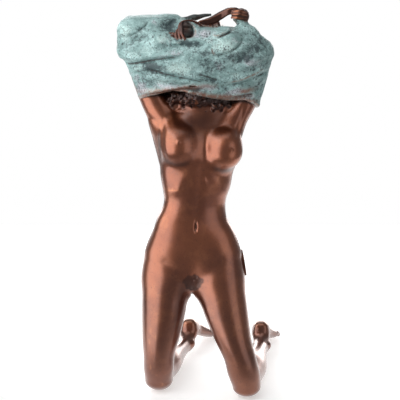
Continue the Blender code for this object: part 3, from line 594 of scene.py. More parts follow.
def body_lines():
    """Hollows and ridges of the muscles, seen from the front and then from the back."""
    front = [
        Line([(6.9, 213), (7.6, 203), (8.0, 196), (7.0, 189)], -0.8, 3.6),
        Line([(6.2, 187), (4.7, 175), (3.1, 163), (1.6, 151), (0.9, 144)], -0.35, 3.2),
        Line([(6.4, 178.4), (7.4, 174.8), (8.4, 171.6)], 0.5, 1.1, fade=0.4),
        Line([(0.9, 144.5), (0.7, 137.5), (0.7, 130.5)], 0.3, 2.8, fade=0.4),
        Line([(0.8, 142.3), (0.7, 137.5), (0.7, 133.2)], -2.4, 1.0, fade=0.5),
        Line([(3.1, 186), (-3.7, 181), (-10.5, 172.5), (-16.7, 162)], 0.4, 3.8),
        Line([(9.2, 184), (14.5, 177.3), (20, 167), (22.4, 158)], 0.4, 3.8),
        Line([(-27, 114), (-19.3, 105), (-10.8, 96), (-3.9, 88.5)], -0.5, 4.6),
        Line([(24, 115.5), (15.5, 106.7), (7, 96.4), (0.8, 88.7)], -0.5, 4.6),
        Line([(-24.1, 221.1), (-24.0, 209.1), (-23.6, 198.5), (-21.0, 190.3)], -0.5, 1.6, middle=8),
        Line([(-36, 221.5), (-32.6, 219.4), (-29.5, 218.5), (-26.4, 217.2)], -0.5, 2.2, middle=10),
        Line([(-22.4, 234), (-18.9, 226.7), (-16.6, 221.0), (-14.9, 215.5)], 0.4, 2.6, 1.8,
             middle=8),
        Line([(38.0, 232), (35.5, 222), (33.0, 213), (31.5, 206)], -0.6, 1.6, middle=8),
    ]
    for index in range(3):
        z = 183 - 8.5 * index
        front.append(Line([(-27, z - 7), (-19, z - 1.5), (-10, z)], 0.10, 2.4, fade=0.4))
        front.append(Line([(29, z - 9), (22, z - 3), (14, z - 1)], 0.10, 2.4, fade=0.4))
    back = [
        Line([(3, 216), (2, 190), (0.5, 165), (-1.5, 140), (-2, 122)], -1.8, 3.2, facing=1),
        Line([(-8, 214), (-14, 202), (-16, 190)], 1.4, 4.5, facing=1),
        Line([(14, 212), (20, 200), (21, 188)], 1.4, 4.5, facing=1),
        Line([(-1.6, 112), (-1.6, 98), (-1.8, 82)], -4.5, 2.2, facing=1),
        Line([(-6, 81), (-19, 77.5), (-31, 82)], -1.2, 2.0, facing=1),
        Line([(4, 80), (16, 76.5), (29, 81)], -1.2, 2.0, facing=1),
        Line([(-9.5, 121), (-11.5, 119)], -0.8, 2.4, facing=1, fade=0.4),
        Line([(6, 120.5), (8, 118.5)], -0.8, 2.4, facing=1, fade=0.4),
    ]
    return front + back


def shirt_forms():
    bag = upright([
        (224, 4.3, -2, 43.0, 19, 19),
        (238, 4.3, -2, 47.4, 21, 22),
        (245, 3.9, -2, 49.6, 23, 24),
        (252, 3.5, -2, 52.0, 26, 26),
        (260, 2.8, -2, 54.6, 28, 28),
        (267, 2.0, -2, 57.2, 29, 29),
        (273, 0.4, -2, 58.1, 28.5, 28),
        (279, -2.8, -2, 54.5, 26, 26),
        (284, -7.0, -2, 49.0, 22, 22),
    ], caps=(6, 6), power=2.4, blend=4)
    return [
        bag,
        Ball((-36, 2, 281), (22.5, 20, 16.2), power=3.6, blend=3),
        Ball((-18, 4, 285.5), (14, 14, 12.6), blend=5),
        Cord([(51, 0, 272.8, 6.8), (44.6, 0, 280.6, 5.8), (38.2, 1, 288, 4.0), (34.5, 2, 295, 3.0)],
             blend=6),
        Cord([(19, -4.5, 288, 2.8), (25.5, -2.6, 291.2, 2.8), (31.5, 0, 293.8, 2.8)], blend=2),
        Ball((-52.0, 0, 270.8), (6.2, 12, 5.2), power=3, blend=2.5),
        Cord([(-12, 6, 291, 3.2), (-4, 9, 294.2, 2.6), (3, 12, 295.6, 2.0), (9, 14, 296.7, 1.1),
              (15, 15, 297.6, 0.5)], blend=2.5),
        Ball((-6, -9, 286), (11, 10, 8.5), blend=4),
        Ball((24, -17, 279.5), (10, 7, 6.5), blend=5),
        Ball((-26, -17, 281), (9, 7, 5.5), blend=5),
    ]


def shirt_lines():
    """Folds of the gathered cloth: those of the front, then plainer ones across the back."""
    front = [
        Line([(-56, 263.5), (-50.5, 262), (-44.7, 263), (-31.7, 266), (-19.7, 268), (-7.9, 269.2)],
             -2.5, 0.9, 1.6),
        Line([(-56, 266.5), (-45, 266.5), (-36, 268), (-24, 270), (-12, 271)], 1.1, 2.6, 1.4),
        Line([(-36.3, 259.5), (-29.5, 257.9), (-16.9, 254.6), (-2, 251.6), (10, 248.6)],
             -2.1, 1.0, 1.6),
        Line([(-33, 262.5), (-16, 257.5), (0, 254.2), (9, 251)], 1.0, 3.0, 1.5),
        Line([(-29, 250.2), (-14.7, 248.1), (-6.5, 248.6), (4, 248.4)], -1.1, 0.9, 1.6),
        Line([(-27, 252.5), (-14, 250.6), (-3, 249.0)], 0.7, 2.0, 1.0),
        Line([(1.4, 256.2), (7.6, 254.6), (12.8, 252.7), (17.5, 251)], -1.6, 0.8, 1.4),
        Line([(3, 258.8), (9, 257), (15, 254.8)], 0.6, 2.4, 1.2),
        Line([(12.4, 275.2), (13.0, 272.3), (15.7, 270.1), (20.1, 270.3), (25.3, 271.7),
              (29.8, 274.1), (33.5, 277.9), (36.7, 282)], -1.7, 1.0, 1.5),
        Line([(11.9, 275.4), (12.5, 272.2), (15.2, 269.6), (17.2, 269.2)], 1.3, 0.9),
        Line([(13.5, 284.9), (16.4, 283.9), (20.1, 285.7), (23.1, 287), (26.2, 288.4)], 1.2, 1.0),
        Line([(16.0, 282.0), (20.1, 283.6), (24.5, 285.4), (28, 287.6)], -1.0, 0.9),
        Line([(14.2, 280.3), (16.4, 281.4)], -0.8, 0.8, fade=0.4),
        Line([(24.7, 249), (32.2, 250.6), (38.1, 252.2), (43.4, 254.6), (47.1, 256), (53, 259.5)],
             1.5, 2.4, 0.9),
        Line([(22, 246.8), (32.2, 248.2), (40, 250.4), (47.3, 253.4), (55, 257)], -1.3, 0.8, 1.6),
        Line([(30.8, 245.4), (38.3, 248.2), (45.9, 251.6), (54, 253.6)], 0.8, 1.4, 0.8),
        Line([(38.0, 260.3), (42.5, 263.1), (47, 265.9), (53, 269)], 1.4, 2.4, 1.8),
        Line([(27.6, 263.5), (33.5, 266.1), (38, 270.4), (42, 275)], -2.2, 3.4, 2.6),
        Line([(-51, 282.3), (-44.3, 285.3), (-40.6, 287.8), (-37.6, 290.1), (-33.9, 294)],
             -0.9, 0.6, 1.3),
        Line([(-53.4, 279), (-53.8, 275.8)], -1.1, 0.8, fade=0.4),
        Line([(-24, 277.4), (-16.7, 276.2), (-3.5, 276.6), (9.8, 277.6)], -2.0, 1.8, 2.4),
        Line([(-20, 280.4), (-14, 279.2), (-9, 279.6)], 0.9, 1.2),
        Line([(-6, 273.4), (3.9, 271.8), (12, 271.4)], -1.1, 1.0, 1.6),
        Line([(-26, 292.5), (-18.3, 288.8), (-12.5, 286)], -2.0, 3.2),
        Line([(-29.2, 252.6), (-29.4, 246.3), (-28.4, 240.5)], 0.35, 0.5),
        Line([(-44, 238.6), (-33.8, 240.9), (-27.6, 242.2), (-22.3, 243.2), (-14.8, 244.6),
              (-6.5, 245.9), (2, 246.3), (10, 245.6)], 1.5, 3.2, 0.8),
        Line([(-40, 236.6), (-33.8, 238.9), (-27.6, 240.2), (-22.3, 241.4), (-14.8, 243.0),
              (-6.5, 244.3), (0, 244.4), (6, 243.6)], -1.5, 1.0),
        Line([(-9, 241.6), (-1.3, 240.0), (8, 238.4), (16, 237.6), (24, 237.6)], 1.2, 1.8, 0.8),
        Line([(20, 236.0), (28.6, 237.0), (34.7, 238.0), (40, 239.4), (44, 239.8)], -1.5, 1.0),
        Line([(22, 238.4), (30, 239.2), (36, 240.4), (42, 242)], 0.9, 2.4, 0.6),
        Line([(-44, 272), (-34, 274), (-26, 277.5)], 0.5, 3.0, 2.0),
        Line([(-46, 256), (-41, 252), (-38, 246)], -0.7, 2.6),
        Line([(-24, 266.5), (-10, 263.5), (4, 262), (14, 263)], 0.6, 3.0, 2.4),
        Line([(12, 262), (20, 260), (28, 260.5)], -0.6, 2.0, 2.6),
        Line([(44, 246), (49, 244), (53, 248)], -0.7, 2.4),
        Line([(40, 283), (46, 276), (52, 271)], -0.5, 1.8, 2.2),
    ]
    back = []
    for index in range(9):
        level = 239 + 5.6 * index
        shift = 14.0 * math.sin(2.4 * index)
        reach = 30 + 8.0 * math.cos(1.7 * index)
        lean = 5.0 * math.sin(1.1 * index + 0.6)
        height = -1.5 if index % 3 else 1.3
        points = [(shift - reach, level - lean), (shift - reach / 3, level - 2.5),
                  (shift + reach / 3, level - 2.0), (shift + reach, level + lean)]
        width = 1.5 + 0.5 * (index % 2)
        back.append(Line(points, height, width, 1.5 * width, facing=1))
        lifted = [(x + 4, z + 2.6) for x, z in points]
        back.append(Line(lifted, 0.7, 2.0, 1.0, facing=1))
    return front + back


def trim_forms():
    """Rolled neckline that bridges to the fist, the fist and its fingers, and the rolled loop."""
    band = [(3.6, 0, 292.6, 1.0), (7.7, 2, 292.8, 2.0), (11.8, 3, 293.4, 2.7), (16, 4, 295.2, 3.0),
            (19.8, 4, 297.4, 3.0), (22.8, 3, 299.2, 2.8), (25.7, 2, 300.6, 2.6),
            (30.5, 2, 301.0, 2.5)]
    forms = [Cord(band, blend=1.0)]
    for lift in (-1.35, -0.2, 0.95):
        strand = [(x, y - 0.72 * radius, z + lift * radius / 1.9, 0.36 * radius)
                  for x, y, z, radius in band]
        forms.append(Cord(strand, blend=0.3))
    forms += [
        Ball((35.0, 2.8, 297.8), (5.4, 4.2, 5.0), blend=1.5),
        Ball((38.0, 0.8, 297.2), (3.1, 3.6, 4.6), blend=1.2),
        Cord([(29.5, -1.0, 300.4, 1.2), (34, -2.6, 300.8, 1.4), (38.4, -1.4, 299.8, 1.3)],
             blend=0.4),
        Cord([(28.6, -1.6, 298.2, 1.3), (33.4, -3.2, 298.3, 1.4), (38.8, -1.8, 297.4, 1.4)],
             blend=0.4),
        Cord([(28.2, -1.2, 296.0, 1.2), (32.6, -2.6, 295.7, 1.3), (37.8, -1.4, 295.0, 1.3)],
             blend=0.4),
        Cord([(38.4, 1.0, 294.4, 1.5), (38.9, 1.2, 292.0, 1.0), (40.3, 2.0, 289.2, 0.5)],
             blend=1.0),
        Cord([(-11.8, -18.6, 288.0, 0.8), (-11.2, -16.6, 291.8, 0.95), (-8.5, -14.2, 293.9, 1.0),
              (-3.2, -12.6, 294.4, 1.0), (1.7, -12.0, 292.9, 0.95), (3.6, -12.2, 291.0, 0.9),
              (3.0, -13.6, 289.2, 0.7)], blend=0.6),
        Cord([(-9.6, -15.4, 293.0, 1.0), (-9.6, -18.2, 289.4, 1.35), (-9.1, -20.6, 285.4, 1.35),
              (-7.4, -21.9, 282.0, 1.0)], blend=0.5),
        Cord([(-13.2, -18.4, 288.6, 0.6), (-13.7, -20.2, 284.8, 0.9), (-12.6, -21.7, 280.9, 0.6)],
             blend=0.5),
        Cord([(-11.9, -18.0, 288.6, 0.7), (-11.3, -20.6, 284.7, 1.0), (-9.8, -22.0, 280.5, 0.7)],
             blend=0.5),
        Cord([(-18.6, -19.3, 285.8, 0.5), (-16.8, -19.6, 286.6, 0.7), (-15.2, -19.8, 285.2, 0.7),
              (-14.6, -20.4, 283.4, 0.5)], blend=0.4),
        Cord([(-18.2, -20.2, 283.4, 0.5), (-16.6, -20.4, 284.0, 0.6), (-15.2, -20.8, 282.4, 0.5)],
             blend=0.4),
        Cord([(3.4, -11.6, 290.7, 0.7), (8.4, -8.4, 290.6, 0.6), (14.3, -7.6, 290.7, 0.6),
              (20.3, -7.2, 291.4, 0.6), (23.6, -6.2, 292.9, 0.6), (26.4, -4.2, 294.6, 0.4)],
             blend=0.5),
    ]
    return forms


def cloth_ripple(points):
    """Slight unevenness of the cloth between its folds, drawn out across the figure."""
    x, y, z = points.T
    sway = 1.4 * np.sin(0.11 * x + 0.3)
    return (0.26 * np.sin(0.21 * x + 0.46 * z + sway) * np.cos(0.13 * y + 0.19 * x - 0.31 * z)
            + 0.12 * np.sin(0.53 * x - 0.94 * z + 2.0 * sway + 0.4 * y))


def skin_ripple(points):
    """The faint waviness that the chasing of a casting leaves."""
    x, y, z = points.T
    return 0.022 * np.sin(0.31 * x + 0.13 * z + 1.1) * np.cos(0.17 * z - 0.27 * y)


def hem_height(points):
    level = np.interp(points[:, 0], HEM_PLACES, HEM_HEIGHTS)
    return level - HEM_DROP * (points[:, 1] - HEM_FRONT)


NECK_BOWL = Ball((13, 3, 290.8), (17, 10, study(NECK_RECESS)))
LOOP_HOLE = Ball((-5.5, -16.6, 287.4), (4.8, 7.5, 6.0), turn=30)


class Figure:
    """The whole figure as one field of distances, and what its patina needs to know."""

    def __init__(self):
        self.locks = hair()
        self.body = torso() + shoulders() + self.locks + legs()
        self.curls = curls(self.body)
        self.body += self.curls
        self.shirt = shirt_forms()
        self.trim = trim_forms()
        self.skin_lines = body_lines()
        self.cloth_lines = shirt_lines()
        self.seat_axis = np.array(Vector(PLATE_NORMAL).normalized())
        self.seat_place = np.array(PLATE_PLACE) - self.seat_axis * study(PLATE_SEAT_DEPTH)

    def outer_cloth(self, points):
        """The shirt as if it were solid and had no hem."""
        return union(points, self.shirt, self.cloth_lines) - cloth_ripple(points)

    def cloth(self, points):
        """The gathered shirt: trimmed along its hem, and hollow under it and at the neck."""
        hem = points[:, 2] - hem_height(points)
        cloth = self.outer_cloth(points)
        cloth -= study(HEM_ROLL) * np.exp(-((hem - 1.6) / 1.5) ** 2)
        under = np.maximum(cloth + study(SHIRT_WALL), hem - study(HEM_RECESS))
        for hollow, fillet in ((hem, 0.9), (under, 1.2), (NECK_BOWL.distance(points), 1.0),
                               (LOOP_HOLE.distance(points), 1.4)):
            cloth = -smooth_min(-cloth, hollow, fillet)
        return cloth

    def seat(self, points):
        """The round recess in the hip that holds the plate."""
        away = points - self.seat_place
        out = away @ self.seat_axis
        aside = np.linalg.norm(away - out[:, None] * self.seat_axis, axis=1)
        radius = study(PLATE_DIAMETER / 2 + PLATE_CLEARANCE)
        return np.maximum(aside - radius, np.maximum(-out, out - radius))

    def skin(self, points):
        skin = union(points, self.body, self.skin_lines) - skin_ripple(points)
        return np.maximum(skin, -self.seat(points))

    def distance(self, points):
        parts = smooth_min(self.skin(points), self.cloth(points), 0.8)
        parts = smooth_min(parts, union(points, self.trim), 0.8)
        return np.maximum(parts, STUDY_GROUND - points[:, 2])

    def project(self, points, rounds):
        """Moves points along the field's slope until they lie on its zero surface."""
        probe = 0.03
        longest = 1.2
        for _ in range(rounds):
            here = self.distance(points)
            slope = [self.distance(points + probe * np.eye(3)[i]) - here for i in range(3)]
            slope = np.stack(slope, axis=1) / probe
            strength = np.maximum((slope ** 2).sum(axis=1), 0.1)
            step = np.clip(here / strength, -longest, longest)
            points = points - step[:, None] * slope
        return points


def baked(obj):
    """Replaces an object's mesh by what its modifiers make of it."""
    depsgraph = bpy.context.evaluated_depsgraph_get()
    mesh = bpy.data.meshes.new_from_object(obj.evaluated_get(depsgraph))
    obj.modifiers.clear()
    old = obj.data
    obj.data = mesh
    bpy.data.meshes.remove(old)


def add_object(name, data):
    obj = bpy.data.objects.new(name, data)
    bpy.context.scene.collection.objects.link(obj)
    return obj


def new_object(name, bm):
    mesh = bpy.data.meshes.new(name)
    bm.to_mesh(mesh)
    bm.free()
    return add_object(name, mesh)


def remeshed(obj, voxel):
    remesh = obj.modifiers.new("even mesh", 'REMESH')
    remesh.mode = 'VOXEL'
    remesh.voxel_size = voxel
    baked(obj)


def thinned(obj, triangles):
    """Takes faces away where the surface is plain, down to a number of triangles."""
    now = sum(len(face.vertices) - 2 for face in obj.data.polygons)
    if now > triangles:
        decimate = obj.modifiers.new("fewer faces", 'DECIMATE')
        decimate.ratio = triangles / now
        baked(obj)


def read_points(mesh):
    flat = np.empty(len(mesh.vertices) * 3)
    mesh.vertices.foreach_get("co", flat)
    return flat.reshape(-1, 3)


def moved_to_surface(obj, figure, rounds):
    points = figure.project(read_points(obj.data), rounds)
    obj.data.vertices.foreach_set("co", points.ravel())
    obj.data.update()


def hollowness(mesh, reach):
    """How far each vertex lies behind the mean of the surface within reach, above 0 in a crease."""
    points = read_points(mesh)
    normals = np.empty(len(points) * 3)
    mesh.vertices.foreach_get("normal", normals)
    ends = np.empty(len(mesh.edges) * 2, int)
    mesh.edges.foreach_get("vertices", ends)
    a, b = ends.reshape(-1, 2).T
    degree = np.bincount(a, minlength=len(points)) + np.bincount(b, minlength=len(points))
    step = np.linalg.norm(points[a] - points[b], axis=1).mean()
    mean = points.copy()
    for _ in range(max(1, round(0.8 * (reach / step) ** 2))):
        for i in range(3):
            total = (np.bincount(a, mean[b, i], len(points))
                     + np.bincount(b, mean[a, i], len(points)))
            mean[:, i] = total / degree
    return ((mean - points) * normals.reshape(-1, 3)).sum(axis=1)


def spotted(points, spots):
    """How strongly the spots lie on each point of the figure's front."""
    strongest = np.zeros(len(points))
    for x, z, width, height, strength in spots:
        away = ((points[:, 0] - x) / width) ** 2 + ((points[:, 2] - z) / height) ** 2
        strongest = np.maximum(strongest, strength * np.exp(-0.7 * away))
    return strongest * unit(0.5 - points[:, 1] / 12.0)


def stroked(points, strokes, width):
    """How near each point of the figure's front lies to a stroke."""
    nearest = np.zeros(len(points))
    for stroke in strokes:
        line = Line(stroke, 1.0, width, fade=0.3)
        mask = near(points, line.box, 0.0)
        nearest[mask] = np.maximum(nearest[mask], line.relief(points[mask]))
    return nearest


def inner_shade_marks(points, outer, hem, is_trim):
    """Painted shade where one looks into the shirt under its hem and into the loop, and the flaked
    place behind the neckline by itself.
    """
    x, y, z = points.T
    middle_x, _, middle_z = LOOP_HOLE.centre
    under_hem_shade = ramp(-outer, 1.6, 2.4) * (1.0 - is_trim) * ramp(hem, -2.5, 3.0)
    loop_shade = unit(1.6 - LOOP_HOLE.distance(points))
    loop_shade = loop_shade * unit(0.55 + ((middle_x - x) + (z - middle_z)) / 5.0)
    flake = ramp(z, 290.5, 1.5) * ramp(y, 4, 3) * (np.abs(x - 2) < 15)
    inside = np.maximum(np.maximum(under_hem_shade, loop_shade), 0.55 * flake * (1.0 - is_trim))
    return inside, flake


def edge_marks(points, outer, hem):
    """Where the shirt ends: along its hem, and around the openings of the neck and the loop."""
    rim = np.minimum(NECK_BOWL.distance(points), LOOP_HOLE.distance(points))
    rim = np.exp(-(rim / 0.9) ** 2) * np.exp(-outer ** 2) * (points[:, 2] > RIMS_FROM)
    return np.maximum(np.exp(-((hem - 0.7) / 1.3) ** 2), rim)


def hair_and_shade_marks(points, figure):
    """Where the skin is darkened: in the hair, and in the shade of the larger forms."""
    hair_and_shade = unit(1.2 - union(points, figure.locks + figure.curls) / 0.8)
    hair_and_shade *= np.where(points[:, 2] < HEAD_HAIR_FROM, 0.85, 1.0)
    # Painted shade: the throat, under the hem, the navel, under the breasts and the inner thigh.
    for shade in (spotted(points, SHADE_SPOTS), 0.75 * stroked(points, SHADE_STROKES, 2.8),
                  0.55 * stroked(points, INNER_THIGH_SHADE, 4.5)):
        hair_and_shade = np.maximum(hair_and_shade, shade)
    return hair_and_shade


def add_masks(mesh, figure):
    """Marks for the patina and for painted light and shade, each a number from 0 to 1 except crease
    and hollow, in millimetres.
    """
    points = read_points(mesh)
    skin = figure.skin(points)
    cloth = figure.cloth(points)
    outer = figure.outer_cloth(points)
    trim = union(points, figure.trim)
    hem = points[:, 2] - hem_height(points)
    is_cloth = unit(0.5 + (np.minimum(skin, trim) - cloth) / SEAM)
    is_trim = unit(0.5 + (np.minimum(skin, cloth) - trim) / SEAM)
    inside, flake = inner_shade_marks(points, outer, hem, is_trim)
    edge = edge_marks(points, outer, hem)
    # Painted highlights on the tops of the heels.
    heel_highlights = 0.8 * ramp(points[:, 1], 78, 8) * ramp(points[:, 2], 23, 5) * (points[:, 2] < 60)
    marks = {
        "cloth": is_cloth,
        "trim": is_trim,
        # Darker hair, with the painted shade of the shade spots and strokes.
        "hair": hair_and_shade_marks(points, figure) * (1.0 - is_cloth) * (1.0 - is_trim),
        # Painted shade inside the shirt and the loop, and the dark flake behind the neckline.
        "inside": inside,
        "edge": edge * (1.0 - inside) * unit(is_cloth * 2),
        "crease": hollowness(mesh, CREASE_REACH),
        "hollow": hollowness(mesh, HOLLOW_REACH),
        # Patina spots, with painted shade in the dark ones and painted highlights in the pale and
        # bloom ones.
        "dark": np.maximum(spotted(points, DARK_PATINA_AND_SHADE_SPOTS), flake),
        "pale": spotted(points, PALE_PATINA_AND_HIGHLIGHT_SPOTS),
        "bloom": spotted(points, BLOOM_AND_HIGHLIGHT_SPOTS),
        # Rubbed bright strokes, with painted glints on the fingers, highlights along folds and on
        # the heels.
        "bright": np.maximum(stroked(points, RUBBED_AND_HIGHLIGHT_STROKES, 0.6), heel_highlights),
        "hem": stroked(points, HEM_STROKES, 1.9),
    }
    for name, values in marks.items():
        attribute = mesh.attributes.new(name, 'FLOAT', 'POINT')
        attribute.data.foreach_set("value", values.astype(np.float32))


class Wire:
    """A shader socket that can stand in a sum: each operation adds a Math node."""

    def __init__(self, sheet, socket):
        self.sheet = sheet
        self.socket = socket

    def math(self, operation, *others):
        return self.sheet.node("ShaderNodeMath", {"operation": operation}, (self, *others))

    def __add__(self, other):
        return self.math('ADD', other)

    def __sub__(self, other):
        return self.math('SUBTRACT', other)

    def __rsub__(self, other):
        return self.sheet.node("ShaderNodeMath", {"operation": 'SUBTRACT'}, (other, self))

    def __mul__(self, other):
        return self.math('MULTIPLY', other)

    __radd__ = __add__
    __rmul__ = __mul__

    def between(self, low, high):
        """0 below low, 1 above high and smooth in between, or the other way round."""
        span = {"interpolation_type": 'SMOOTHSTEP'}
        return self.sheet.node("ShaderNodeMapRange", span, (self, low, high))


class Sheet:
    """A node tree to write on."""

    def __init__(self, tree):
        self.tree = tree
        tree.nodes.clear()

    def node(self, kind, settings=None, values=(), output=0):
        """Adds a node: its settings first, then the values or links of its sockets."""
        node = self.tree.nodes.new(kind)
        for name, value in (settings or {}).items():
            setattr(node, name, value)
        pairs = values.items() if isinstance(values, dict) else enumerate(values)
        for key, value in pairs:
            if isinstance(value, Wire):
                self.tree.links.new(value.socket, node.inputs[key])
            else:
                node.inputs[key].default_value = value
        return Wire(self, node.outputs[output]) if len(node.outputs) else None

    def mask(self, name):
        return self.node("ShaderNodeAttribute", {"attribute_name": name}, output="Fac")

    def place(self, stretch=(1.0, 1.0, 1.0)):
        place = self.node("ShaderNodeTexCoord", output="Object")
        return self.node("ShaderNodeMapping", None, {"Vector": place, "Scale": stretch})

    def noise(self, size, detail=2.0, rough=0.5, stretch=(1.0, 1.0, 1.0), warp=0.0):
        """Noise with features about size metres across."""
        return self.node("ShaderNodeTexNoise", None, {
            "Vector": self.place(stretch), "Scale": 1.0 / size, "Detail": detail,
            "Roughness": rough, "Distortion": warp})

    def mix(self, share, below, above):
        """Blends two colours, above where share is 1."""
        def full(value):
            return value if isinstance(value, Wire) else (*value, 1.0)
        settings = {"data_type": 'RGBA', "clamp_factor": True}
        values = {0: share, 6: full(below), 7: full(above)}
        return self.node("ShaderNodeMix", settings, values, output=2)

    def layered(self, colour, layers):
        """Lays colours over the first one, each by its own share."""
        for share, above in layers:
            colour = self.mix(share, colour, above)
        return colour

    def coordinate(self, axis):
        """How far each point lies along an axis of the object, in metres."""
        place = self.node("ShaderNodeTexCoord", output="Object")
        return self.node("ShaderNodeSeparateXYZ", None, (place,), output=axis)

    def bump(self, height, depth):
        values = {"Height": height, "Strength": 1.0, "Distance": depth}
        return self.node("ShaderNodeBump", None, values)

    def surface(self, values):
        shader = self.node("ShaderNodeBsdfPrincipled", None, values, output="BSDF")
        self.node("ShaderNodeOutputMaterial", None, {"Surface": shader})


def new_material(name):
    material = bpy.data.materials.new(name)
    material.use_nodes = True
    return material, Sheet(material.node_tree)


def patinated_bronze(sizes):
    """Brown skin and trim, and a green shirt rubbed brown along its hems and ridges, with painted
    shade and painted highlights laid into both.
    """
    material, sheet = new_material("patinated_bronze")
    names = ("cloth", "trim", "hair", "inside", "edge", "crease", "hollow", "bright")
    cloth, trim, hair_and_shade, inside, edge, crease, hollow, bright = map(sheet.mask, names)
    raised = 0.0 - crease

    cloudy = sheet.noise(0.030, 3.0, 0.55)
    tint = sheet.noise(0.012, 4.0, 0.6, warp=0.6)
    grain = sheet.noise(0.0013, 3.0, 0.7)
    # Darker trim and hair, and painted shade: the shade spots and strokes carried with the hair,
    # and inside the shirt and the loop.
    dull = (trim * 0.75 + hair_and_shade * 0.85 + inside * 0.9).between(0.0, 1.0)
    lit_ridges = raised.between(0.06, 0.34) * (0.7 - hair_and_shade * 0.35) * (1.0 - inside)
    skin = sheet.layered(sizes.brown, (
        (cloudy.between(0.30, 0.70), sizes.warm_brown),
        (tint.between(0.48, 0.76) * 0.34, sizes.orange),
        (crease.between(0.03, 0.45) * 0.7, sizes.dark_brown),
        # Darker patina in the wider hollows, which also stands as painted shade.
        (hollow.between(0.5, 3.0) * 0.6, sizes.dark_brown),
        (raised.between(0.08, 0.5) * 0.45, sizes.orange),
        (grain.between(0.55, 0.74) * 0.45, sizes.dark_brown),
        (dull * (1.0 - lit_ridges), sizes.dark_brown),
        # Rubbed orange, with painted glints on the fingers and painted highlights on the heels.
        (bright * tint.between(0.30, 0.50) * 0.8, sizes.orange),
        # Painted shade: the skin darkens towards the bottom of the figure.
        (sheet.coordinate("Z").between(0.165, 0.02) * 0.42, sizes.dark_brown),
    ))

    mottle = sheet.noise(0.009, 6.0, 0.70, stretch=(0.75, 0.75, 1.0), warp=0.8)
    patches = sheet.noise(0.026, 5.0, 0.62, stretch=(0.6, 0.6, 1.1), warp=1.0)
    specks = sheet.noise(0.0012, 3.0, 0.78)
    small = sheet.noise(0.0028, 5.0, 0.74)
    broken = (mottle - 0.5) * 2.2 + (small - 0.5) * 1.6
    # The pale and bloom masks carry painted highlights as well as patina, and the dark mask painted
    # shade.
    pale = sheet.mask("pale") + broken
    bloom = sheet.mask("bloom") + broken
    dark = sheet.mask("dark") * 1.3 + (patches - 0.5) * 2.6 + (small - 0.5) * 3.2
    gritty = specks.between(0.49, 0.60) * (small + mottle).between(0.80, 1.20)
    ridge = raised.between(0.12, 0.50) * mottle.between(0.35, 0.60)
    rubbed = edge * (small.between(0.30, 0.55) * 0.6 + 0.4)
    rubbed = rubbed.math('MAXIMUM', sheet.mask("hem") * small.between(0.28, 0.50))
    green = sheet.layered(sizes.green, (
        (mottle.between(0.36, 0.62), sizes.mid_green),
        (pale.between(0.15, 0.95) * 0.9, sizes.pale_green),
        (bloom.between(0.20, 1.00) * 0.75, sizes.grey_bloom_and_highlight),
        (dark.between(0.05, 0.95) * 0.9, sizes.dark_green),
        # Paler verdigris on the rounded parts, which also stands as a painted highlight.
        ((0.0 - hollow).between(0.2, 1.6) * 0.45, sizes.pale_green),
        (gritty * 0.9, sizes.dark_green),
        (small.between(0.60, 0.74) * 0.4, sizes.umber),
        # Darker verdigris in the wider hollows, which also stands as painted shade.
        (hollow.between(0.10, 1.2) * 0.6, sizes.dark_green),
        (crease.between(0.06, 0.42) * 0.85, sizes.umber),
        (ridge * 0.5, sizes.worn_and_highlight_brown),
        (rubbed * 0.85, sizes.worn_and_highlight_brown),
        # Rubbed brown strokes, with painted highlights along the edges of some folds.
        (bright * small.between(0.34, 0.52) * 0.85, sizes.worn_and_highlight_brown),
        # Painted shade inside the shirt and the loop.
        (inside * 0.9, sizes.dark_brown),
    ))

    colour = sheet.mix(cloth, skin, green)
    bare = 1.0 - cloth * (1.0 - rubbed * 0.6) * (1.0 - inside * 0.7)
    rough_skin = sheet.noise(0.006, 3.0, 0.6) * 0.10 + grain * 0.12 + sizes.skin_roughness
    rough_green = specks * 0.16 + 0.42
    roughness = rough_skin * bare + rough_green * (1.0 - bare) + hair_and_shade * 0.24
    metallic = bare * 0.84 + 0.08
    waxed = bare * (1.0 - dull * 0.6)

    pits = sheet.noise(0.0009, 2.0, 0.6)
    grainy = sheet.bump(pits * (cloth * 0.8 + 0.32) + small * cloth * 1.2, sizes.grain_depth)
    sheet.surface({
        "Base Color": colour, "Roughness": roughness, "Metallic": metallic,
        "Normal": grainy, "Coat Weight": waxed, "Coat Roughness": 0.26, "Coat IOR": 1.66,
    })
    return material


def dark_plate_bronze(sizes):
    """Nearly black bronze with faint turning marks around the plate's centre."""
    material, sheet = new_material("dark_plate_bronze")
    low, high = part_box("hip_plate")
    centre = (low + high) / 2
    place = sheet.node("ShaderNodeTexCoord", output="Object")
    away = sheet.node("ShaderNodeVectorMath", {"operation": 'SUBTRACT'}, (place, tuple(centre)))
    radius = sheet.node("ShaderNodeVectorMath", {"operation": 'LENGTH'}, (away,), output="Value")
    turned = (radius * sizes.turning_marks).math('SINE')
    stain = sheet.noise(0.004, 4.0, 0.6)
    rim = radius.between(0.46 * PLATE_DIAMETER, 0.5 * PLATE_DIAMETER)
    colour = sheet.mix(stain.between(0.4, 0.7), sizes.colour, sizes.stain)
    colour = sheet.mix(rim * 0.6, colour, sizes.rim_colour)
    sheet.surface({
        "Base Color": colour, "Roughness": stain * 0.2 + sizes.roughness, "Metallic": 0.9,
        "Normal": sheet.bump(turned * 0.5 + stain, sizes.mark_depth),
    })
    return material


def number_property(name, description, default, **more):
    return FloatProperty(name=name, description=description, default=default, **more)


def length_property(name, description, default, least=0.0):
    return number_property(name, description, default, min=least, unit='LENGTH', precision=5)


def share_property(name, description, default):
    return number_property(name, description, default, min=0.0, max=1.0, subtype='FACTOR')


def power_property(name, description, default):
    return number_property(name, description, default, min=0.0, unit='POWER')


def colour_property(name, description, default):
    return FloatVectorProperty(name=name, description=description, default=default,
                               subtype='COLOR', size=3, min=0.0, max=1.0)


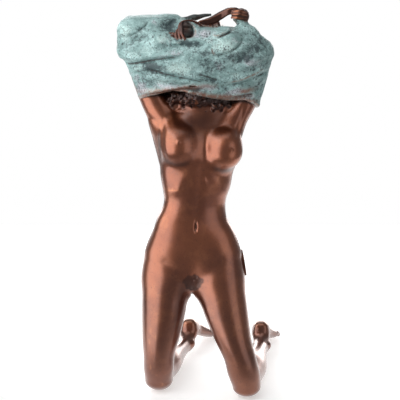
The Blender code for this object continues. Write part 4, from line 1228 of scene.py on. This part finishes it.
class CastingSettings(bpy.types.PropertyGroup):
    coarse_step: length_property("Coarse step", "Voxel of the first cast over the solid",
                                 0.0011, least=0.0004)
    fine_step: length_property("Fine step", "Voxel of the last cast", 0.00072, least=0.0004)
    triangles: IntProperty(
        name="Triangles", description="Most triangles that the figure may have",
        default=196000, min=20000)
    grain_depth: length_property("Grain depth", "Depth of the pits in the casting", 0.00016)
    skin_roughness: share_property(
        "Skin roughness", "How dull the waxed brown bronze is at its smoothest", 0.20)
    brown: colour_property("Brown", "Brown patina of the skin", (0.225, 0.054, 0.018))
    warm_brown: colour_property("Warm brown", "Lighter clouds in the brown", (0.365, 0.100, 0.034))
    # Also the colour of painted glints on the fingers and painted highlights on the heels.
    orange: colour_property("Orange", "Bronze where the brown is rubbed thin", (0.56, 0.19, 0.070))
    dark_brown: colour_property("Dark brown", "Brown in creases and hollows", (0.040, 0.017, 0.014))
    green: colour_property("Green", "Verdigris of the shirt", (0.23, 0.37, 0.36))
    mid_green: colour_property("Mid green", "Thicker verdigris", (0.42, 0.62, 0.61))
    pale_green: colour_property("Pale green", "Lightest verdigris", (0.63, 0.85, 0.81))
    dark_green: colour_property(
        "Dark green", "Thin verdigris over dark bronze", (0.036, 0.060, 0.066))
    # Also the colour of painted highlights on the shirt.
    grey_bloom_and_highlight: colour_property(
        "Grey bloom", "Chalky lilac bloom on the verdigris", (0.62, 0.60, 0.66))
    umber: colour_property("Umber", "Dirt in the creases of the cloth", (0.060, 0.045, 0.042))
    # Also the colour of painted highlights along folds of the shirt.
    worn_and_highlight_brown: colour_property("Worn brown", "Bronze rubbed bare on hems", (0.27, 0.105, 0.060))


class PlateSettings(bpy.types.PropertyGroup):
    turning_marks: number_property(
        "Turning marks", "Pitch of the turned rings, in radians to a metre", 14000.0, min=100.0)
    mark_depth: length_property("Mark depth", "Depth of the turned rings", 0.00004)
    roughness: share_property("Roughness", "How dull the plate is", 0.28)
    colour: colour_property("Colour", "Dark patina of the plate", (0.022, 0.016, 0.016))
    stain: colour_property("Stain", "Browner stains on the plate", (0.060, 0.026, 0.020))
    rim_colour: colour_property("Rim", "Bronze rubbed bare around the rim", (0.20, 0.075, 0.05))


class StageSettings(bpy.types.PropertyGroup):
    floor_colour: colour_property("Floor", "Pale floor", (0.86, 0.86, 0.86))
    near_floor_colour: colour_property(
        "Near floor", "Floor in front of the figure", (0.42, 0.42, 0.42))
    floor_glow: number_property(
        "Floor glow", "Light that the white floor gives off by itself", 0.58, min=0.0)
    key_power: power_property("Key light", "Power of the large softbox on the left", 16.6)
    fill_power: power_property("Fill light", "Power of the narrow softbox on the right", 1.3)
    back_power: power_property("Back light", "Power of the low strip behind the figure", 4.0)
    top_power: power_property("Top light", "Power of the light overhead", 7.0)
    front_grey: number_property(
        "Front", "Brightness of the room behind the camera", 0.22, min=0.0)
    back_white: number_property("Behind", "Brightness of the backdrop", 3.6, min=0.0)


def values_of(group):
    """The scene's own copy of a group of settings."""
    return getattr(bpy.context.scene, group)


def add_seeds(bm, cords):
    """Beads along the thin strands, so that the first cast joins them to the solid."""
    for cord in cords:
        for x, y, z, radius in cord.path:
            bmesh.ops.create_icosphere(bm, subdivisions=1, radius=max(radius * 0.95, 0.6),
                                       matrix=Matrix.Translation((x, y, z)))


class BRONZE_OT_cast_figure(bpy.types.Operator):
    """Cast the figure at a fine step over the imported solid, and patinate it"""
    bl_idname = "bronze.cast_figure"
    bl_label = "Cast the figure"

    def execute(self, context):
        sizes = values_of("bronze_casting")
        figure = Figure()
        bm = bmesh.new()
        bm.from_mesh(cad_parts["statue"].data)
        bmesh.ops.remove_doubles(bm, verts=bm.verts, dist=1e-6)
        bmesh.ops.transform(bm, matrix=TO_WORLD.inverted(), verts=bm.verts)
        add_seeds(bm, [form for form in figure.trim if isinstance(form, Cord)])
        statue = new_object("bronze_figure", bm)
        steps = [sizes.coarse_step, sizes.fine_step]
        for step in steps:
            remeshed(statue, study(step))
            moved_to_surface(statue, figure, 2)
        thinned(statue, sizes.triangles)
        moved_to_surface(statue, figure, 1)
        add_masks(statue.data, figure)
        statue.data.transform(TO_WORLD)
        statue.data.materials.append(patinated_bronze(sizes))
        statue.data.shade_smooth()
        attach(statue, "root")
        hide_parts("statue")
        return {'FINISHED'}


class BRONZE_OT_finish_plate(bpy.types.Operator):
    """Give the plate on the hip its dark turned finish"""
    bl_idname = "bronze.finish_plate"
    bl_label = "Finish the hip plate"

    def execute(self, context):
        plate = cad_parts["hip_plate"]
        material = dark_plate_bronze(values_of("bronze_plate"))
        for slot in plate.material_slots:
            slot.material = material
        return {'FINISHED'}


def add_softbox(name, turn, rise, distance, size, power):
    """An area light at an angle around the figure, 0 in front and positive to its left."""
    light = bpy.data.lights.new(name, 'AREA')
    light.shape = 'RECTANGLE'
    light.size, light.size_y = size
    light.energy = power
    turn = math.radians(turn)
    aim = Vector(LIGHT_AIM)
    place = aim + Vector((math.sin(turn) * distance, -math.cos(turn) * distance, rise))
    obj = add_object(name, light)
    obj.location = place
    obj.rotation_euler = (aim - place).to_track_quat('-Z', 'Y').to_euler()
    obj.visible_camera = False


def set_room(stage):
    """A white room for the camera, greyer in front of the figure than behind it."""
    world = bpy.data.worlds.new("room")
    world.use_nodes = True
    bpy.context.scene.world = world
    sheet = Sheet(world.node_tree)
    direction = sheet.node("ShaderNodeTexCoord", output="Generated")
    depth = sheet.node("ShaderNodeSeparateXYZ", None, (direction,), output="Y")
    height = sheet.node("ShaderNodeSeparateXYZ", None, (direction,), output="Z")
    behind = depth.between(0.70, 0.93) * (1.0 - height.between(0.26, 0.46))
    behind = behind * height.between(-0.06, 0.0)
    glow = behind * (stage.back_white - stage.front_grey) + stage.front_grey
    camera = sheet.node("ShaderNodeLightPath", output="Is Camera Ray")
    strength = glow * (1.0 - camera) + camera
    shader = sheet.node("ShaderNodeBackground", None, {"Color": (1, 1, 1, 1), "Strength": strength})
    sheet.node("ShaderNodeOutputWorld", None, {"Surface": shader})


def add_floor(stage):
    """A pale floor that glows a little, and is darker in front of the figure."""
    bm = bmesh.new()
    ground = SOLID_BOX[0][2] - FLOOR_GAP
    bm.faces.new([bm.verts.new((x, y, ground)) for x, y in FLOOR_CORNERS])
    floor = new_object("floor", bm)
    material, sheet = new_material("pale_floor")
    lit = sheet.coordinate("Y").between(*FLOOR_FADE)
    sheet.surface({
        "Base Color": sheet.mix(lit, stage.near_floor_colour, stage.floor_colour),
        "Emission Color": sheet.mix(lit, (0.0, 0.0, 0.0), (1.0, 0.995, 0.985)),
        "Roughness": 0.55, "Emission Strength": stage.floor_glow,
    })
    floor.data.materials.append(material)


def add_camera():
    """The photograph's view of the figure."""
    camera = bpy.data.cameras.new("camera")
    camera.sensor_width = CAMERA_SENSOR
    camera.lens = CAMERA_LENS
    camera.clip_start = 0.01
    viewer = add_object("camera", camera)
    towards = Vector((0.0, math.cos(CAMERA_ELEVATION), -math.sin(CAMERA_ELEVATION)))
    viewer.location = TO_WORLD @ (Vector(CAMERA_TARGET) - towards * CAMERA_DISTANCE)
    viewer.rotation_euler = towards.to_track_quat('-Z', 'Y').to_euler()
    bpy.context.scene.camera = viewer
    bpy.context.scene.view_settings.view_transform = 'Standard'


class BRONZE_OT_set_stage(bpy.types.Operator):
    """Put up the floor, the lights, the room and the camera"""
    bl_idname = "bronze.set_stage"
    bl_label = "Set the stage"

    def execute(self, context):
        stage = values_of("bronze_stage")
        add_floor(stage)
        for name, turn, rise, distance, size, power in SOFTBOXES:
            add_softbox(name, turn, rise, distance, size, getattr(stage, power))
        set_room(stage)
        add_camera()
        return {'FINISHED'}


class BRONZE_PT_panel(bpy.types.Panel):
    bl_label = "Kneeling bronze"
    bl_idname = "BRONZE_PT_panel"
    bl_space_type = 'VIEW_3D'
    bl_region_type = 'UI'
    bl_category = "Bronze"

    def draw(self, context):
        layout = self.layout
        for operator, group in (("bronze.cast_figure", "bronze_casting"),
                                ("bronze.finish_plate", "bronze_plate"),
                                ("bronze.set_stage", "bronze_stage")):
            box = layout.box()
            box.operator(operator)
            values = values_of(group)
            for name in values.__annotations__:
                box.prop(values, name)


CLASSES = (CastingSettings, PlateSettings, StageSettings, BRONZE_OT_cast_figure,
           BRONZE_OT_finish_plate, BRONZE_OT_set_stage, BRONZE_PT_panel)
GROUPS = {"bronze_casting": CastingSettings, "bronze_plate": PlateSettings,
          "bronze_stage": StageSettings}


def register():
    for item in CLASSES:
        bpy.utils.register_class(item)
    for name, group in GROUPS.items():
        setattr(bpy.types.Scene, name, PointerProperty(type=group))


def unregister():
    for name in GROUPS:
        delattr(bpy.types.Scene, name)
    for item in reversed(CLASSES):
        bpy.utils.unregister_class(item)


def main():
    register()
    bpy.ops.bronze.set_stage()
    bpy.ops.bronze.cast_figure()
    bpy.ops.bronze.finish_plate()


if __name__ == "__main__":
    main()
